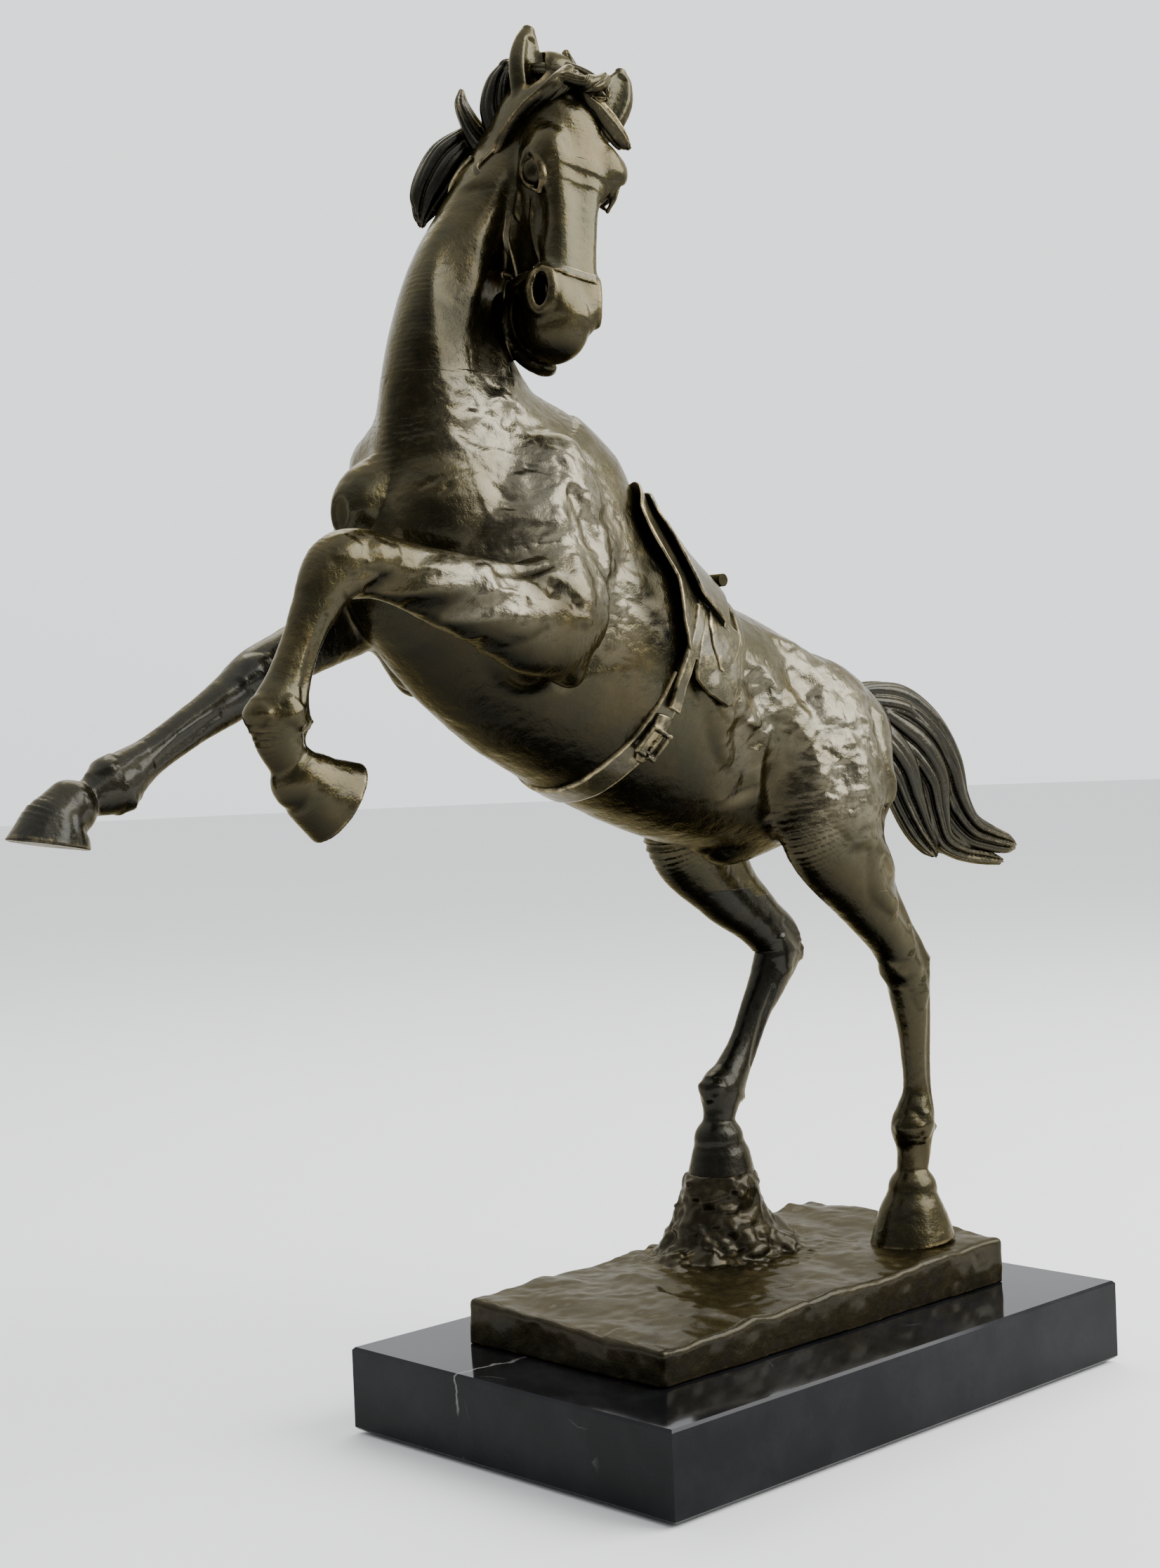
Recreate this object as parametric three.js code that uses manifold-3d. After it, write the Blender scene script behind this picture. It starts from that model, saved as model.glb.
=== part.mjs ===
// A rearing horse in cast bronze, saddled and haltered, on a polished marble plinth.
// Millimetres, +Z up. The horse faces -X, and its left side faces -Y.
// The origin is the centre of the plinth's underside, where the felt rests.

import * as THREE from 'three';
import { mergeVertices } from 'three/addons/utils/BufferGeometryUtils.js';
import Module from 'manifold-3d';

const wasm = await Module();
wasm.setup();

// ---------------------------------------------------------------- driving dimensions

const GAP = 0.3; // clearance between two pieces that touch
const FELT = { length: 300, width: 192, thickness: 1.5 };
const PLINTH = { length: 312, width: 205, top: 40, bevel: 1.2 };
const SLAB = {
  corners: [[-119, -62, 56.6], [124, -62, 62.2], [124, 65, 66.5], [-120, 65, 60.8]], // x, y, top height
  columns: 14,
  rows: 9,
  ripple: 0.9, // height of the modelled ground's waves
  overhang: 1.6, // how far the rounded top edge stands in from the foot
};
const FIXING = {
  reach: 78, // from the plinth's middle, forwards and back
  stud: 3,
  engaged: 8, // how far the stud is screwed into the casting
  hole: 4,
  washer: { radius: 8, thickness: 1.5 },
  nut: { radius: 5.5, height: 5 },
  recess: { radius: 11, depth: 13 },
};
const DOWEL = { radius: 2.5, above: 16, below: 12, left: [90, -31, 62.5], right: [17, 29, 92.5] };
const LEATHER = 2.4; // thickness of the modelled straps
const LEATHER_GAP = 0.6; // clearance of the seats that the straps lie in
const RING_SIDES = 14; // sides of a lofted section
const FINEST = 0.02; // detail smaller than this is merged away
const PER_SPAN = 2; // lofted sections between two stations

// Every limb is a chain of stations [x, y, z, half width, half depth]. `side` points across
// the limb at its start and `turn` at its end, where the limb twists.
const CHAINS = {
  trunk: {
    side: [0, 1, 0],
    stations: [
      [97, 0, 318, 18, 15],
      [82, 0, 314, 33, 23],
      [58, 0, 310, 41, 37],
      [25, 0, 310, 43, 52],
      [-10, 0, 318, 45, 57],
      [-44, 0, 328, 48, 58],
      [-80, 0, 348, 49, 63],
      [-112, 0, 369, 47, 67],
      [-146, 0, 388, 45, 63],
      [-176, 0, 402, 41, 52],
      [-198, 0, 411, 30, 37],
      [-210, 0, 416, 13, 18],
    ],
  },
  neck: {
    side: [0, 1, 0],
    turn: [-0.95, 0.3, 0],
    stations: [
      [-126, 0, 404, 40, 64],
      [-146, 1, 430, 37, 60],
      [-158, 0, 460, 29, 48],
      [-158, 1, 495, 22, 38],
      [-144, 2, 530, 18, 31],
      [-130, -5, 560, 16, 26],
      [-118, -18, 584, 13, 20],
    ],
  },
  head: {
    side: [-0.99, 0.081, 0.112],
    stations: [
      [-120, -27, 602, 10, 11],
      [-122, -28, 587, 19, 25],
      [-124, -28, 571, 23, 32],
      [-125, -23, 554, 22, 39],
      [-127, -25, 539, 18, 38],
      [-130, -38, 523, 14, 24],
      [-132, -44, 507, 14, 19],
      [-134, -46, 490, 14, 17],
      [-135, -47, 479, 9, 11],
    ],
  },
  jaw: {
    side: [-0.99, 0.081, 0.112],
    stations: [
      [-128, -14, 526, 11, 14],
      [-129, -8, 509, 10, 10],
      [-129, -8, 494, 9, 8],
      [-128, -14, 482, 9, 7],
      [-127, -22, 476, 8, 6],
      [-126, -28, 476, 4, 3],
    ],
  },
  rightEar: {
    side: [-0.99, 0.081, 0.112],
    stations: [
      [-131, -23, 582, 4, 5],
      [-131, -23, 594, 6, 6],
      [-129, -22, 607, 5.5, 5],
      [-126, -20, 616, 3.5, 3.5],
      [-125, -20, 620.5, 1, 1],
    ],
  },
  leftEar: {
    side: [-0.99, 0.081, 0.112],
    stations: [
      [-105, -38, 576, 4, 5],
      [-101, -40, 584, 6, 6],
      [-98, -41, 592, 5.5, 5],
      [-96, -42, 598, 3, 3],
      [-96, -42.5, 600.5, 1, 1],
    ],
  },
  leftFore: {
    side: [0, 1, 0],
    stations: [
      [-130, -38, 400, 12, 20],
      [-147, -50, 374, 16, 24],
      [-166, -54, 366, 15, 24],
      [-200, -52, 374, 12, 17],
      [-232, -48, 384, 10.5, 13],
      [-250, -45, 387.5, 11, 13.5],
      [-262, -45, 384, 10.5, 13],
      [-272, -45, 370, 8.2, 9.5],
      [-279, -45, 357, 7, 7.8],
      [-286, -45, 342, 7.8, 9],
      [-290.5, -45, 330, 10.5, 12.5],
      [-291, -45, 321, 8.8, 9.6],
      [-285, -45, 311, 7.8, 8.6],
      [-281, -45, 305, 8.5, 9.5],
    ],
  },
  leftForeHoof: {
    side: [0, 1, 0],
    stations: [
      [-283, -45, 306, 9, 10],
      [-279, -45, 304, 11.3, 13],
      [-272, -45, 299.5, 12.6, 15.5],
      [-264.6, -45, 295.5, 14, 18.5],
    ],
  },
  rightFore: {
    side: [0, 1, 0],
    stations: [
      [-124, 40, 398, 13, 24],
      [-150, 45, 380, 16, 21],
      [-180, 42, 373, 14, 16],
      [-205, 38, 363, 12, 13],
      [-226, 36, 355, 10.5, 11.5],
      [-243, 34, 348, 10.2, 11],
      [-258, 32, 338.5, 9.2, 10],
      [-276, 31, 329, 7.2, 8.2],
      [-298, 30, 317, 6.8, 7.8],
      [-312, 29, 309, 8.8, 10.5],
      [-319, 28, 305, 8.8, 10.8],
      [-330, 28, 301, 6.8, 7.4],
      [-338, 28, 298, 8, 9],
    ],
  },
  rightForeHoof: {
    side: [0, 1, 0],
    stations: [
      [-336, 28, 299, 8.3, 9.3],
      [-340.5, 28, 295.5, 10.4, 11.6],
      [-344, 28, 290.5, 12, 14.5],
      [-346.7, 28, 284.4, 13.6, 18],
    ],
  },
  leftHind: {
    side: [0, 1, 0],
    stations: [
      [56, -22, 322, 20, 38],
      [38, -32, 298, 22, 40],
      [33, -38, 270, 18, 32],
      [55, -37, 238, 13, 19.5],
      [76, -34, 216, 10.5, 13.5],
      [90, -32, 199, 10, 13.5],
      [93, -32, 184, 9, 11.6],
      [95.5, -32, 161, 7, 8.6],
      [96, -32, 138, 6.4, 7.4],
      [94.5, -32, 127, 8.6, 10],
      [93, -31, 118, 10, 12],
      [93, -31, 107, 8, 9],
      [90.5, -31, 94, 7.2, 8.2],
      [90.5, -31, 86, 8.5, 9.5],
    ],
  },
  leftHindHoof: {
    side: [0, 1, 0],
    stations: [
      [91, -31, 88, 9.6, 10.8],
      [90.5, -31, 83.5, 12.8, 14.4],
      [90, -31, 74, 16.4, 19],
      [90, -31, 62.8, 19.6, 23],
    ],
  },
  rightHind: {
    side: [0, 1, 0],
    stations: [
      [52, 22, 322, 20, 38],
      [30, 33, 296, 22, 40],
      [16, 36, 268, 18, 30],
      [34, 34, 240, 13, 19],
      [54, 31, 222, 10.5, 14],
      [67, 30, 208, 10, 14],
      [60, 30, 193, 8.8, 11],
      [49, 30, 178, 7, 8.6],
      [39.5, 30, 162, 6.6, 8],
      [29, 30, 148, 8, 9.6],
      [22, 30, 140, 9.8, 12],
      [19, 29, 131, 7.8, 8.8],
      [17.5, 29, 123, 7.2, 8],
      [17.5, 29, 116, 8.5, 9.5],
    ],
  },
  rightHindHoof: {
    side: [0, 1, 0],
    stations: [
      [17.5, 29, 118, 9.6, 10.8],
      [18, 29, 112.5, 12.8, 14.4],
      [18.5, 29, 104, 14.6, 17],
      [18, 29, 93, 16.6, 20],
    ],
  },
  sheath: {
    side: [0, 1, 0],
    stations: [
      [28, 0, 276, 12, 12],
      [10, -1, 268, 13, 13],
      [-6, -1, 264, 11, 11],
      [-16, -1, 264, 5, 5],
    ],
  },
  tail: {
    side: [0, 1, 0],
    stations: [
      [86, 0, 330, 8, 8],
      [108, -1, 328, 10, 13],
      [130, -2, 318, 12, 20],
      [143, -3, 303, 13, 26],
      [149, -4, 286, 13, 27],
      [158, -5, 268, 11, 20],
      [180, -6, 256, 9, 10],
      [200, -7, 250, 7, 8],
      [214, -8, 249, 4, 5],
    ],
  },
  tailCurl: {
    side: [0, 1, 0],
    stations: [
      [138, -4, 290, 9, 14],
      [139, -5, 272, 9, 12],
      [145, -6, 258, 8, 8],
      [149, -6, 250, 4, 4],
    ],
  },
  mane: {
    side: [-0.95, -0.3, 0],
    stations: [
      [-128, 0, 590, 9, 8],
      [-134, 10, 578, 11, 10],
      [-142, 17, 564, 12, 11],
      [-150, 20, 551, 10, 9],
      [-155, 20, 541, 4, 4],
    ],
  },
  forelock: {
    side: [-0.99, 0.081, 0.112],
    stations: [
      [-116, -31, 606, 3, 3],
      [-116, -34, 599, 8, 7],
      [-114, -40, 588, 10, 6],
      [-108, -46, 576, 8, 5],
      [-103, -52, 567, 3, 3],
    ],
  },
  mound: {
    side: [0, 1, 0],
    stations: [
      [22, 33, 48, 30, 42],
      [21, 32, 62, 28, 37],
      [19, 31, 74, 24, 29],
      [18, 30, 85, 20, 23],
      [17, 29, 92.5, 17, 19.5],
    ],
  },
};

const BRONZE = { color: 0x4f4527, metalness: 0.85, roughness: 0.42 };
const DARK_BRONZE = { color: 0x2b271c, metalness: 0.8, roughness: 0.5 };
const RUBBED_BRONZE = { color: 0x8a7744, metalness: 0.9, roughness: 0.38 };
const MARBLE = { color: 0x111213, metalness: 0.0, roughness: 0.06 };
const BAIZE = { color: 0x14321f, metalness: 0.0, roughness: 0.95 };
const STEEL = { color: 0x9a9c9e, metalness: 0.95, roughness: 0.35 };

// ---------------------------------------------------------------- solids

const group = new THREE.Group();

function toSolid(geometry) {
  const bare = geometry.clone();
  bare.deleteAttribute('normal');
  bare.deleteAttribute('uv');
  const merged = mergeVertices(bare, 1e-4);
  const mesh = new wasm.Mesh({
    numProp: 3,
    vertProperties: new Float32Array(merged.attributes.position.array),
    triVerts: new Uint32Array(merged.index.array),
  });
  return new wasm.Manifold(mesh);
}

// A closed solid from rings of points: quads between neighbouring rings, and each end closed
// by pairing the points of its two long sides, which suits a thin curved section too.
function solidFromRings(rings) {
  const sides = rings[0].length;
  const positions = rings.flat().flatMap((p) => [p.x, p.y, p.z]);
  const index = [];
  for (let i = 0; i < rings.length - 1; i += 1) {
    for (let j = 0; j < sides; j += 1) {
      const a = i * sides + j;
      const b = i * sides + ((j + 1) % sides);
      index.push(a, b, b + sides, a, b + sides, a + sides);
    }
  }
  const last = (rings.length - 1) * sides;
  for (let j = 0; j < Math.floor(sides / 2) - 1; j += 1) {
    const k = sides - 1 - j;
    index.push(j, k - 1, j + 1, j, k, k - 1);
    index.push(last + j, last + j + 1, last + k - 1, last + j, last + k - 1, last + k);
  }
  const geometry = new THREE.BufferGeometry();
  geometry.setAttribute('position', new THREE.Float32BufferAttribute(positions, 3));
  geometry.setIndex(signedVolume(positions, index) < 0 ? index.reverse() : index);
  return toSolid(geometry);
}

function signedVolume(positions, index) {
  const corner = (i) => new THREE.Vector3().fromArray(positions, index[i] * 3);
  let sum = 0;
  for (let i = 0; i < index.length; i += 3) {
    sum += corner(i).dot(corner(i + 1).cross(corner(i + 2)));
  }
  return sum / 6;
}

function cylinder(x, y, bottom, top, radius, sides = 24) {
  const geometry = new THREE.CylinderGeometry(radius, radius, top - bottom, sides);
  geometry.rotateX(Math.PI / 2);
  geometry.translate(x, y, (bottom + top) / 2);
  return toSolid(geometry);
}

function largestBody(solid) {
  return solid.decompose().reduce((best, next) => (next.volume() > best.volume() ? next : best));
}

function addPiece(name, solid, look) {
  const mesh = largestBody(solid.simplify(FINEST)).getMesh();
  const geometry = new THREE.BufferGeometry();
  geometry.setAttribute('position', new THREE.BufferAttribute(new Float32Array(mesh.vertProperties), 3));
  geometry.setIndex(new THREE.BufferAttribute(new Uint32Array(mesh.triVerts), 1));
  geometry.computeVertexNormals();
  const piece = new THREE.Mesh(geometry, new THREE.MeshStandardMaterial(look));
  piece.name = name;
  group.add(piece);
}

// ---------------------------------------------------------------- lofts along chains

function stationAt(chain, u) {
  const { stations } = chain;
  const last = stations.length - 1;
  const i = Math.min(Math.floor(u), last - 1);
  const t = u - i;
  const pick = (k) => stations[Math.min(Math.max(k, 0), last)];
  const [p0, p1, p2, p3] = [pick(i - 1), pick(i), pick(i + 1), pick(i + 2)];
  return p1.map((_, k) => 0.5 * (2 * p1[k] + (p2[k] - p0[k]) * t
    + (2 * p0[k] - 5 * p1[k] + 4 * p2[k] - p3[k]) * t * t
    + (3 * p1[k] - p0[k] - 3 * p2[k] + p3[k]) * t * t * t));
}

function frameAt(chain, u) {
  const last = chain.stations.length - 1;
  const step = 0.02;
  const [x, y, z, width, depth] = stationAt(chain, u);
  const before = stationAt(chain, Math.max(u - step, 0));
  const after = stationAt(chain, Math.min(u + step, last));
  const along = new THREE.Vector3(after[0] - before[0], after[1] - before[1], after[2] - before[2]);
  along.normalize();
  const side = new THREE.Vector3(...chain.side);
  side.lerp(new THREE.Vector3(...(chain.turn ?? chain.side)), u / last);
  side.addScaledVector(along, -side.dot(along)).normalize();
  const normal = new THREE.Vector3().crossVectors(side, along);
  return { centre: new THREE.Vector3(x, y, z), side, normal, width, depth };
}

// Angle 0 is the back of the trunk (or the face of the head) and grows towards the horse's left.
function surfacePoint(chain, u, degrees, lift) {
  const { centre, side, normal, width, depth } = frameAt(chain, u);
  const angle = THREE.MathUtils.degToRad(degrees);
  return centre.clone()
    .addScaledVector(normal, Math.cos(angle) * (depth + lift))
    .addScaledVector(side, -Math.sin(angle) * (width + lift));
}

function loft(name, { grow = 0, from = 0, to = CHAINS[name].stations.length - 1 } = {}) {
  const chain = CHAINS[name];
  const steps = Math.max(1, Math.round((to - from) * PER_SPAN));
  const rings = [];
  for (let i = 0; i <= steps; i += 1) {
    const u = from + ((to - from) * i) / steps;
    const ring = [];
    for (let j = 0; j < RING_SIDES; j += 1) {
      ring.push(surfacePoint(chain, u, (360 * j) / RING_SIDES, grow));
    }
    rings.push(ring);
  }
  return solidFromRings(rings);
}

function union(solids) {
  return solids.reduce((sum, next) => sum.add(next));
}

const GIRTH_RADIUS = 45; // the trunk's usual radius under the tack
const SPAN = 32; // the usual distance between two stations of the trunk

// A plate of leather or cloth on a limb. Each row is [degrees, u at one edge, u at the other].
function plate(name, rows, { lift = GAP, thickness = LEATHER, columns = 4, grow = 0, arch = 0 } = {}) {
  const chain = CHAINS[name];
  const rings = rows.map(([degrees, start, end], k) => {
    const sign = k === 0 ? -1 : 1;
    const isEdge = k === 0 || k === rows.length - 1;
    const edge = isEdge ? sign * THREE.MathUtils.radToDeg(grow / GIRTH_RADIUS) : 0;
    const reach = grow / SPAN;
    const inner = [];
    const outer = [];
    for (let i = 0; i <= columns; i += 1) {
      const t = i / columns;
      const u = start - reach + (end - start + 2 * reach) * t;
      const raised = lift + arch * t * t;
      inner.push(surfacePoint(chain, u, degrees + edge, raised - grow));
      outer.unshift(surfacePoint(chain, u, degrees + edge, raised + thickness + grow));
    }
    return [...inner, ...outer];
  });
  return solidFromRings(rings);
}

function rowsBetween(outline, count) {
  const rows = [];
  for (let i = 0; i <= count; i += 1) {
    const v = ((outline.length - 1) * i) / count;
    const k = Math.min(Math.floor(v), outline.length - 2);
    rows.push(outline[k].map((value, c) => value + (outline[k + 1][c] - value) * (v - k)));
  }
  return rows;
}

function mirrored(rows) {
  return rows.map(([degrees, start, end]) => [-degrees, start, end]).reverse();
}

// ---------------------------------------------------------------- plinth and ground

const SLAB_FOOT = PLINTH.top + GAP;

// A point of the ground casting: s runs towards the horse's rear and t towards its right.
function groundPoint(s, t, inset) {
  const [a, b, c, d] = SLAB.corners;
  const blend = (k) => (a[k] * (1 - s) + b[k] * s) * (1 - t) + (d[k] * (1 - s) + c[k] * s) * t;
  const wave = Math.sin(s * 9 + t * 3) + Math.sin(s * 4 - t * 8);
  const fade = Math.sin(Math.PI * s) * Math.sin(Math.PI * t);
  const x = blend(0) + inset * (1 - 2 * s);
  const y = blend(1) + inset * (1 - 2 * t);
  return new THREE.Vector3(x, y, blend(2) + SLAB.ripple * wave * fade);
}

function groundCasting(grow = 0) {
  const rings = [];
  for (let i = 0; i <= SLAB.columns; i += 1) {
    const s = i / SLAB.columns;
    const ring = [];
    for (let j = 0; j <= SLAB.rows; j += 1) {
      const point = groundPoint(s, j / SLAB.rows, SLAB.overhang - grow);
      ring.push(point.setZ(point.z + grow));
    }
    for (const t of [1, 0]) {
      ring.push(groundPoint(s, t, -grow).setZ(SLAB_FOOT));
    }
    rings.push(ring);
  }
  return solidFromRings(rings);
}

function buildPlinth() {
  const felt = new THREE.BoxGeometry(FELT.length, FELT.width, FELT.thickness);
  felt.translate(0, 0, FELT.thickness / 2);
  addPiece('felt_pad', toSolid(felt), BAIZE);

  const { length, width, top, bevel } = PLINTH;
  const foot = FELT.thickness + GAP;
  const outline = new THREE.Shape();
  outline.moveTo(-length / 2, -width / 2);
  outline.lineTo(length / 2, -width / 2);
  outline.lineTo(length / 2, width / 2);
  outline.lineTo(-length / 2, width / 2);
  outline.closePath();
  const block = new THREE.ExtrudeGeometry(outline, {
    depth: top - foot - 2 * bevel,
    bevelThickness: bevel,
    bevelSize: bevel,
    bevelOffset: -bevel,
    bevelSegments: 1,
  });
  block.translate(0, 0, foot + bevel);
  let marble = toSolid(block);
  for (const x of [-FIXING.reach, FIXING.reach]) {
    marble = marble.subtract(cylinder(x, 0, foot - 1, top + 1, FIXING.hole));
    marble = marble.subtract(cylinder(x, 0, foot - 1, foot + FIXING.recess.depth, FIXING.recess.radius));
  }
  addPiece('marble_plinth', marble, MARBLE);
}

function buildFixings() {
  const { washer, nut } = FIXING;
  const ceiling = FELT.thickness + GAP + FIXING.recess.depth;
  const clear = FIXING.stud + GAP;
  for (const [place, x] of [['front', -FIXING.reach], ['rear', FIXING.reach]]) {
    const washerTop = ceiling - GAP;
    const nutTop = washerTop - washer.thickness - GAP;
    const nutFoot = nutTop - nut.height;
    const ring = cylinder(x, 0, washerTop - washer.thickness, washerTop, washer.radius);
    const hexagon = cylinder(x, 0, nutFoot, nutTop, nut.radius, 6);
    const bore = cylinder(x, 0, 0, PLINTH.top, clear);
    addPiece(`${place}_stud`, cylinder(x, 0, nutFoot - 2, SLAB_FOOT + FIXING.engaged, FIXING.stud), STEEL);
    addPiece(`${place}_washer`, ring.subtract(bore), STEEL);
    addPiece(`${place}_nut`, hexagon.subtract(bore), STEEL);
  }
}

// ---------------------------------------------------------------- tack

const seatLift = 2 * GAP + LEATHER; // leather lying on the saddle blanket
const BLANKET_SIDE = [[30, 4.92, 7.05], [46, 4.9, 6.95], [60, 4.94, 6.5], [76, 5.0, 6.2], [92, 5.1, 5.9]];
const SKIRT = [[41, 5.32, 6.75], [50, 5.36, 6.45], [62, 5.42, 6.03], [66, 5.43, 5.62]];
const FLAP = [[67.2, 5.15, 5.76], [75, 5.24, 5.72], [84, 5.4, 5.52]];
const BILLET = [[67.2, 5.8, 5.97], [98, 5.82, 5.97], [108, 5.76, 5.9]];
const GIRTH = [[93, 5.76, 5.98], [116, 5.7, 6.0], [140, 5.7, 6.03], [180, 5.7, 6.03]];
const NOSEBAND_SIDE = [[0, 5.0, 5.22], [60, 5.12, 5.36], [122, 5.35, 5.6]];
const CHEEK_STRAP = [[109, 1.5, 5], [118, 1.5, 5]];
const THROAT_LATCH = [[-148, 2, 4.5], [-139, 2, 4.5]];
const SEAT = [[-40, 5.3, 6.85], [0, 5.2, 7.0], [40, 5.3, 6.85]];
const SEAT_THICKNESS = 3;
const CANTLE_ROLL = { u: 4.85, radius: 3, length: 40 };
const BUCKLE = { u: 5.8, degrees: 125, width: 17, height: 18, bar: 2.4, thickness: 2.2 };

// Both halves of an outline that is given for one side, as one run of rows.
function bothSides(half, count) {
  const opposite = half.map(([degrees, start, end]) => [-degrees, start, end]).reverse();
  const run = half[0][0] === 0 ? [...opposite, ...half.slice(1)] : [...opposite, ...half];
  return rowsBetween(run, count);
}

function aroundBelly(half, count) {
  const far = half.slice(0, -1).map(([degrees, start, end]) => [360 - degrees, start, end]).reverse();
  return rowsBetween([...half, ...far], count);
}

function tackPlates(grow = 0) {
  return {
    saddle_blanket: plate('trunk', bothSides(BLANKET_SIDE, 18), { grow }),
    girth_strap: plate('trunk', aroundBelly(GIRTH, 18), { grow, columns: 2 }),
    saddle_seat: plate('trunk', rowsBetween(SEAT, 10), {
      grow, lift: seatLift, thickness: SEAT_THICKNESS, arch: 3,
    }),
    left_skirt: plate('trunk', rowsBetween(SKIRT, 5), { grow, lift: seatLift }),
    right_skirt: plate('trunk', rowsBetween(mirrored(SKIRT), 5), { grow, lift: seatLift }),
    left_flap: plate('trunk', rowsBetween(FLAP, 4), { grow, lift: seatLift, thickness: 1.6 }),
    right_flap: plate('trunk', rowsBetween(mirrored(FLAP), 4), { grow, lift: seatLift, thickness: 1.6 }),
    left_billet: plate('trunk', rowsBetween(BILLET, 6), { grow, lift: seatLift, thickness: 2, columns: 1 }),
    right_billet: plate('trunk', rowsBetween(mirrored(BILLET), 6), {
      grow, lift: seatLift, thickness: 2, columns: 1,
    }),
  };
}

function halterPlates(grow = 0) {
  const strap = { grow, thickness: 1.8, lift: 2 * GAP };
  return {
    noseband: plate('head', bothSides(NOSEBAND_SIDE, 16), { ...strap, columns: 1 }),
    left_cheek_strap: plate('head', CHEEK_STRAP, { ...strap, columns: 7 }),
    right_cheek_strap: plate('head', mirrored(CHEEK_STRAP), { ...strap, columns: 7 }),
    throat_latch: plate('head', THROAT_LATCH, { ...strap, columns: 5 }),
  };
}

function placedOnTrunk(geometry, u, degrees, lift) {
  const origin = surfacePoint(CHAINS.trunk, u, degrees, lift);
  const across = surfacePoint(CHAINS.trunk, u - 0.05, degrees, lift).sub(origin).normalize();
  const down = surfacePoint(CHAINS.trunk, u, degrees + 2, lift).sub(origin).normalize();
  const out = new THREE.Vector3().crossVectors(down, across).normalize();
  const up = new THREE.Vector3().crossVectors(out, across);
  geometry.applyMatrix4(new THREE.Matrix4().makeBasis(across, up, out).setPosition(origin));
  return toSolid(geometry);
}

function rectangle(path, width, height) {
  path.moveTo(-width / 2, -height / 2);
  path.lineTo(width / 2, -height / 2);
  path.lineTo(width / 2, height / 2);
  path.lineTo(-width / 2, height / 2);
  path.closePath();
  return path;
}

function buildBuckle() {
  const { u, degrees, width, height, bar, thickness } = BUCKLE;
  const frame = rectangle(new THREE.Shape(), width, height);
  frame.holes.push(rectangle(new THREE.Path(), width - 2 * bar, height - 2 * bar));
  const ring = new THREE.ExtrudeGeometry(frame, { depth: thickness, bevelEnabled: false });
  const ringLift = seatLift + 1;
  addPiece('girth_buckle', placedOnTrunk(ring, u, degrees, ringLift), RUBBED_BRONZE);

  const tongue = new THREE.BoxGeometry(width - 2 * bar - 2, height - 2 * bar - 2, 1.6);
  addPiece('strap_tongue', placedOnTrunk(tongue, u, degrees, ringLift + 1), RUBBED_BRONZE);

  const prong = new THREE.CylinderGeometry(0.9, 0.9, height - bar, 10);
  const prongLift = ringLift + thickness + GAP + 1;
  addPiece('buckle_prong', placedOnTrunk(prong, u, degrees, prongLift), RUBBED_BRONZE);
}

// ---------------------------------------------------------------- the horse

const SHOULDER = 2; // station where a leg's own casting begins
const WELD = 0.015; // the same weld's clearance, as a share of a span
const LEGS = {
  leftFore: 'left_fore_leg',
  rightFore: 'right_fore_leg',
  leftHind: 'left_hind_leg',
  rightHind: 'right_hind_leg',
};

function torsoCasting(grow = 0) {
  const roots = Object.keys(LEGS).map((name) => loft(name, { grow, to: SHOULDER }));
  return union([loft('trunk', { grow }), loft('sheath', { grow }), ...roots]);
}

function cutBy(solid, cutters) {
  return cutters.reduce((rest, cutter) => rest.subtract(cutter), solid);
}

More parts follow.
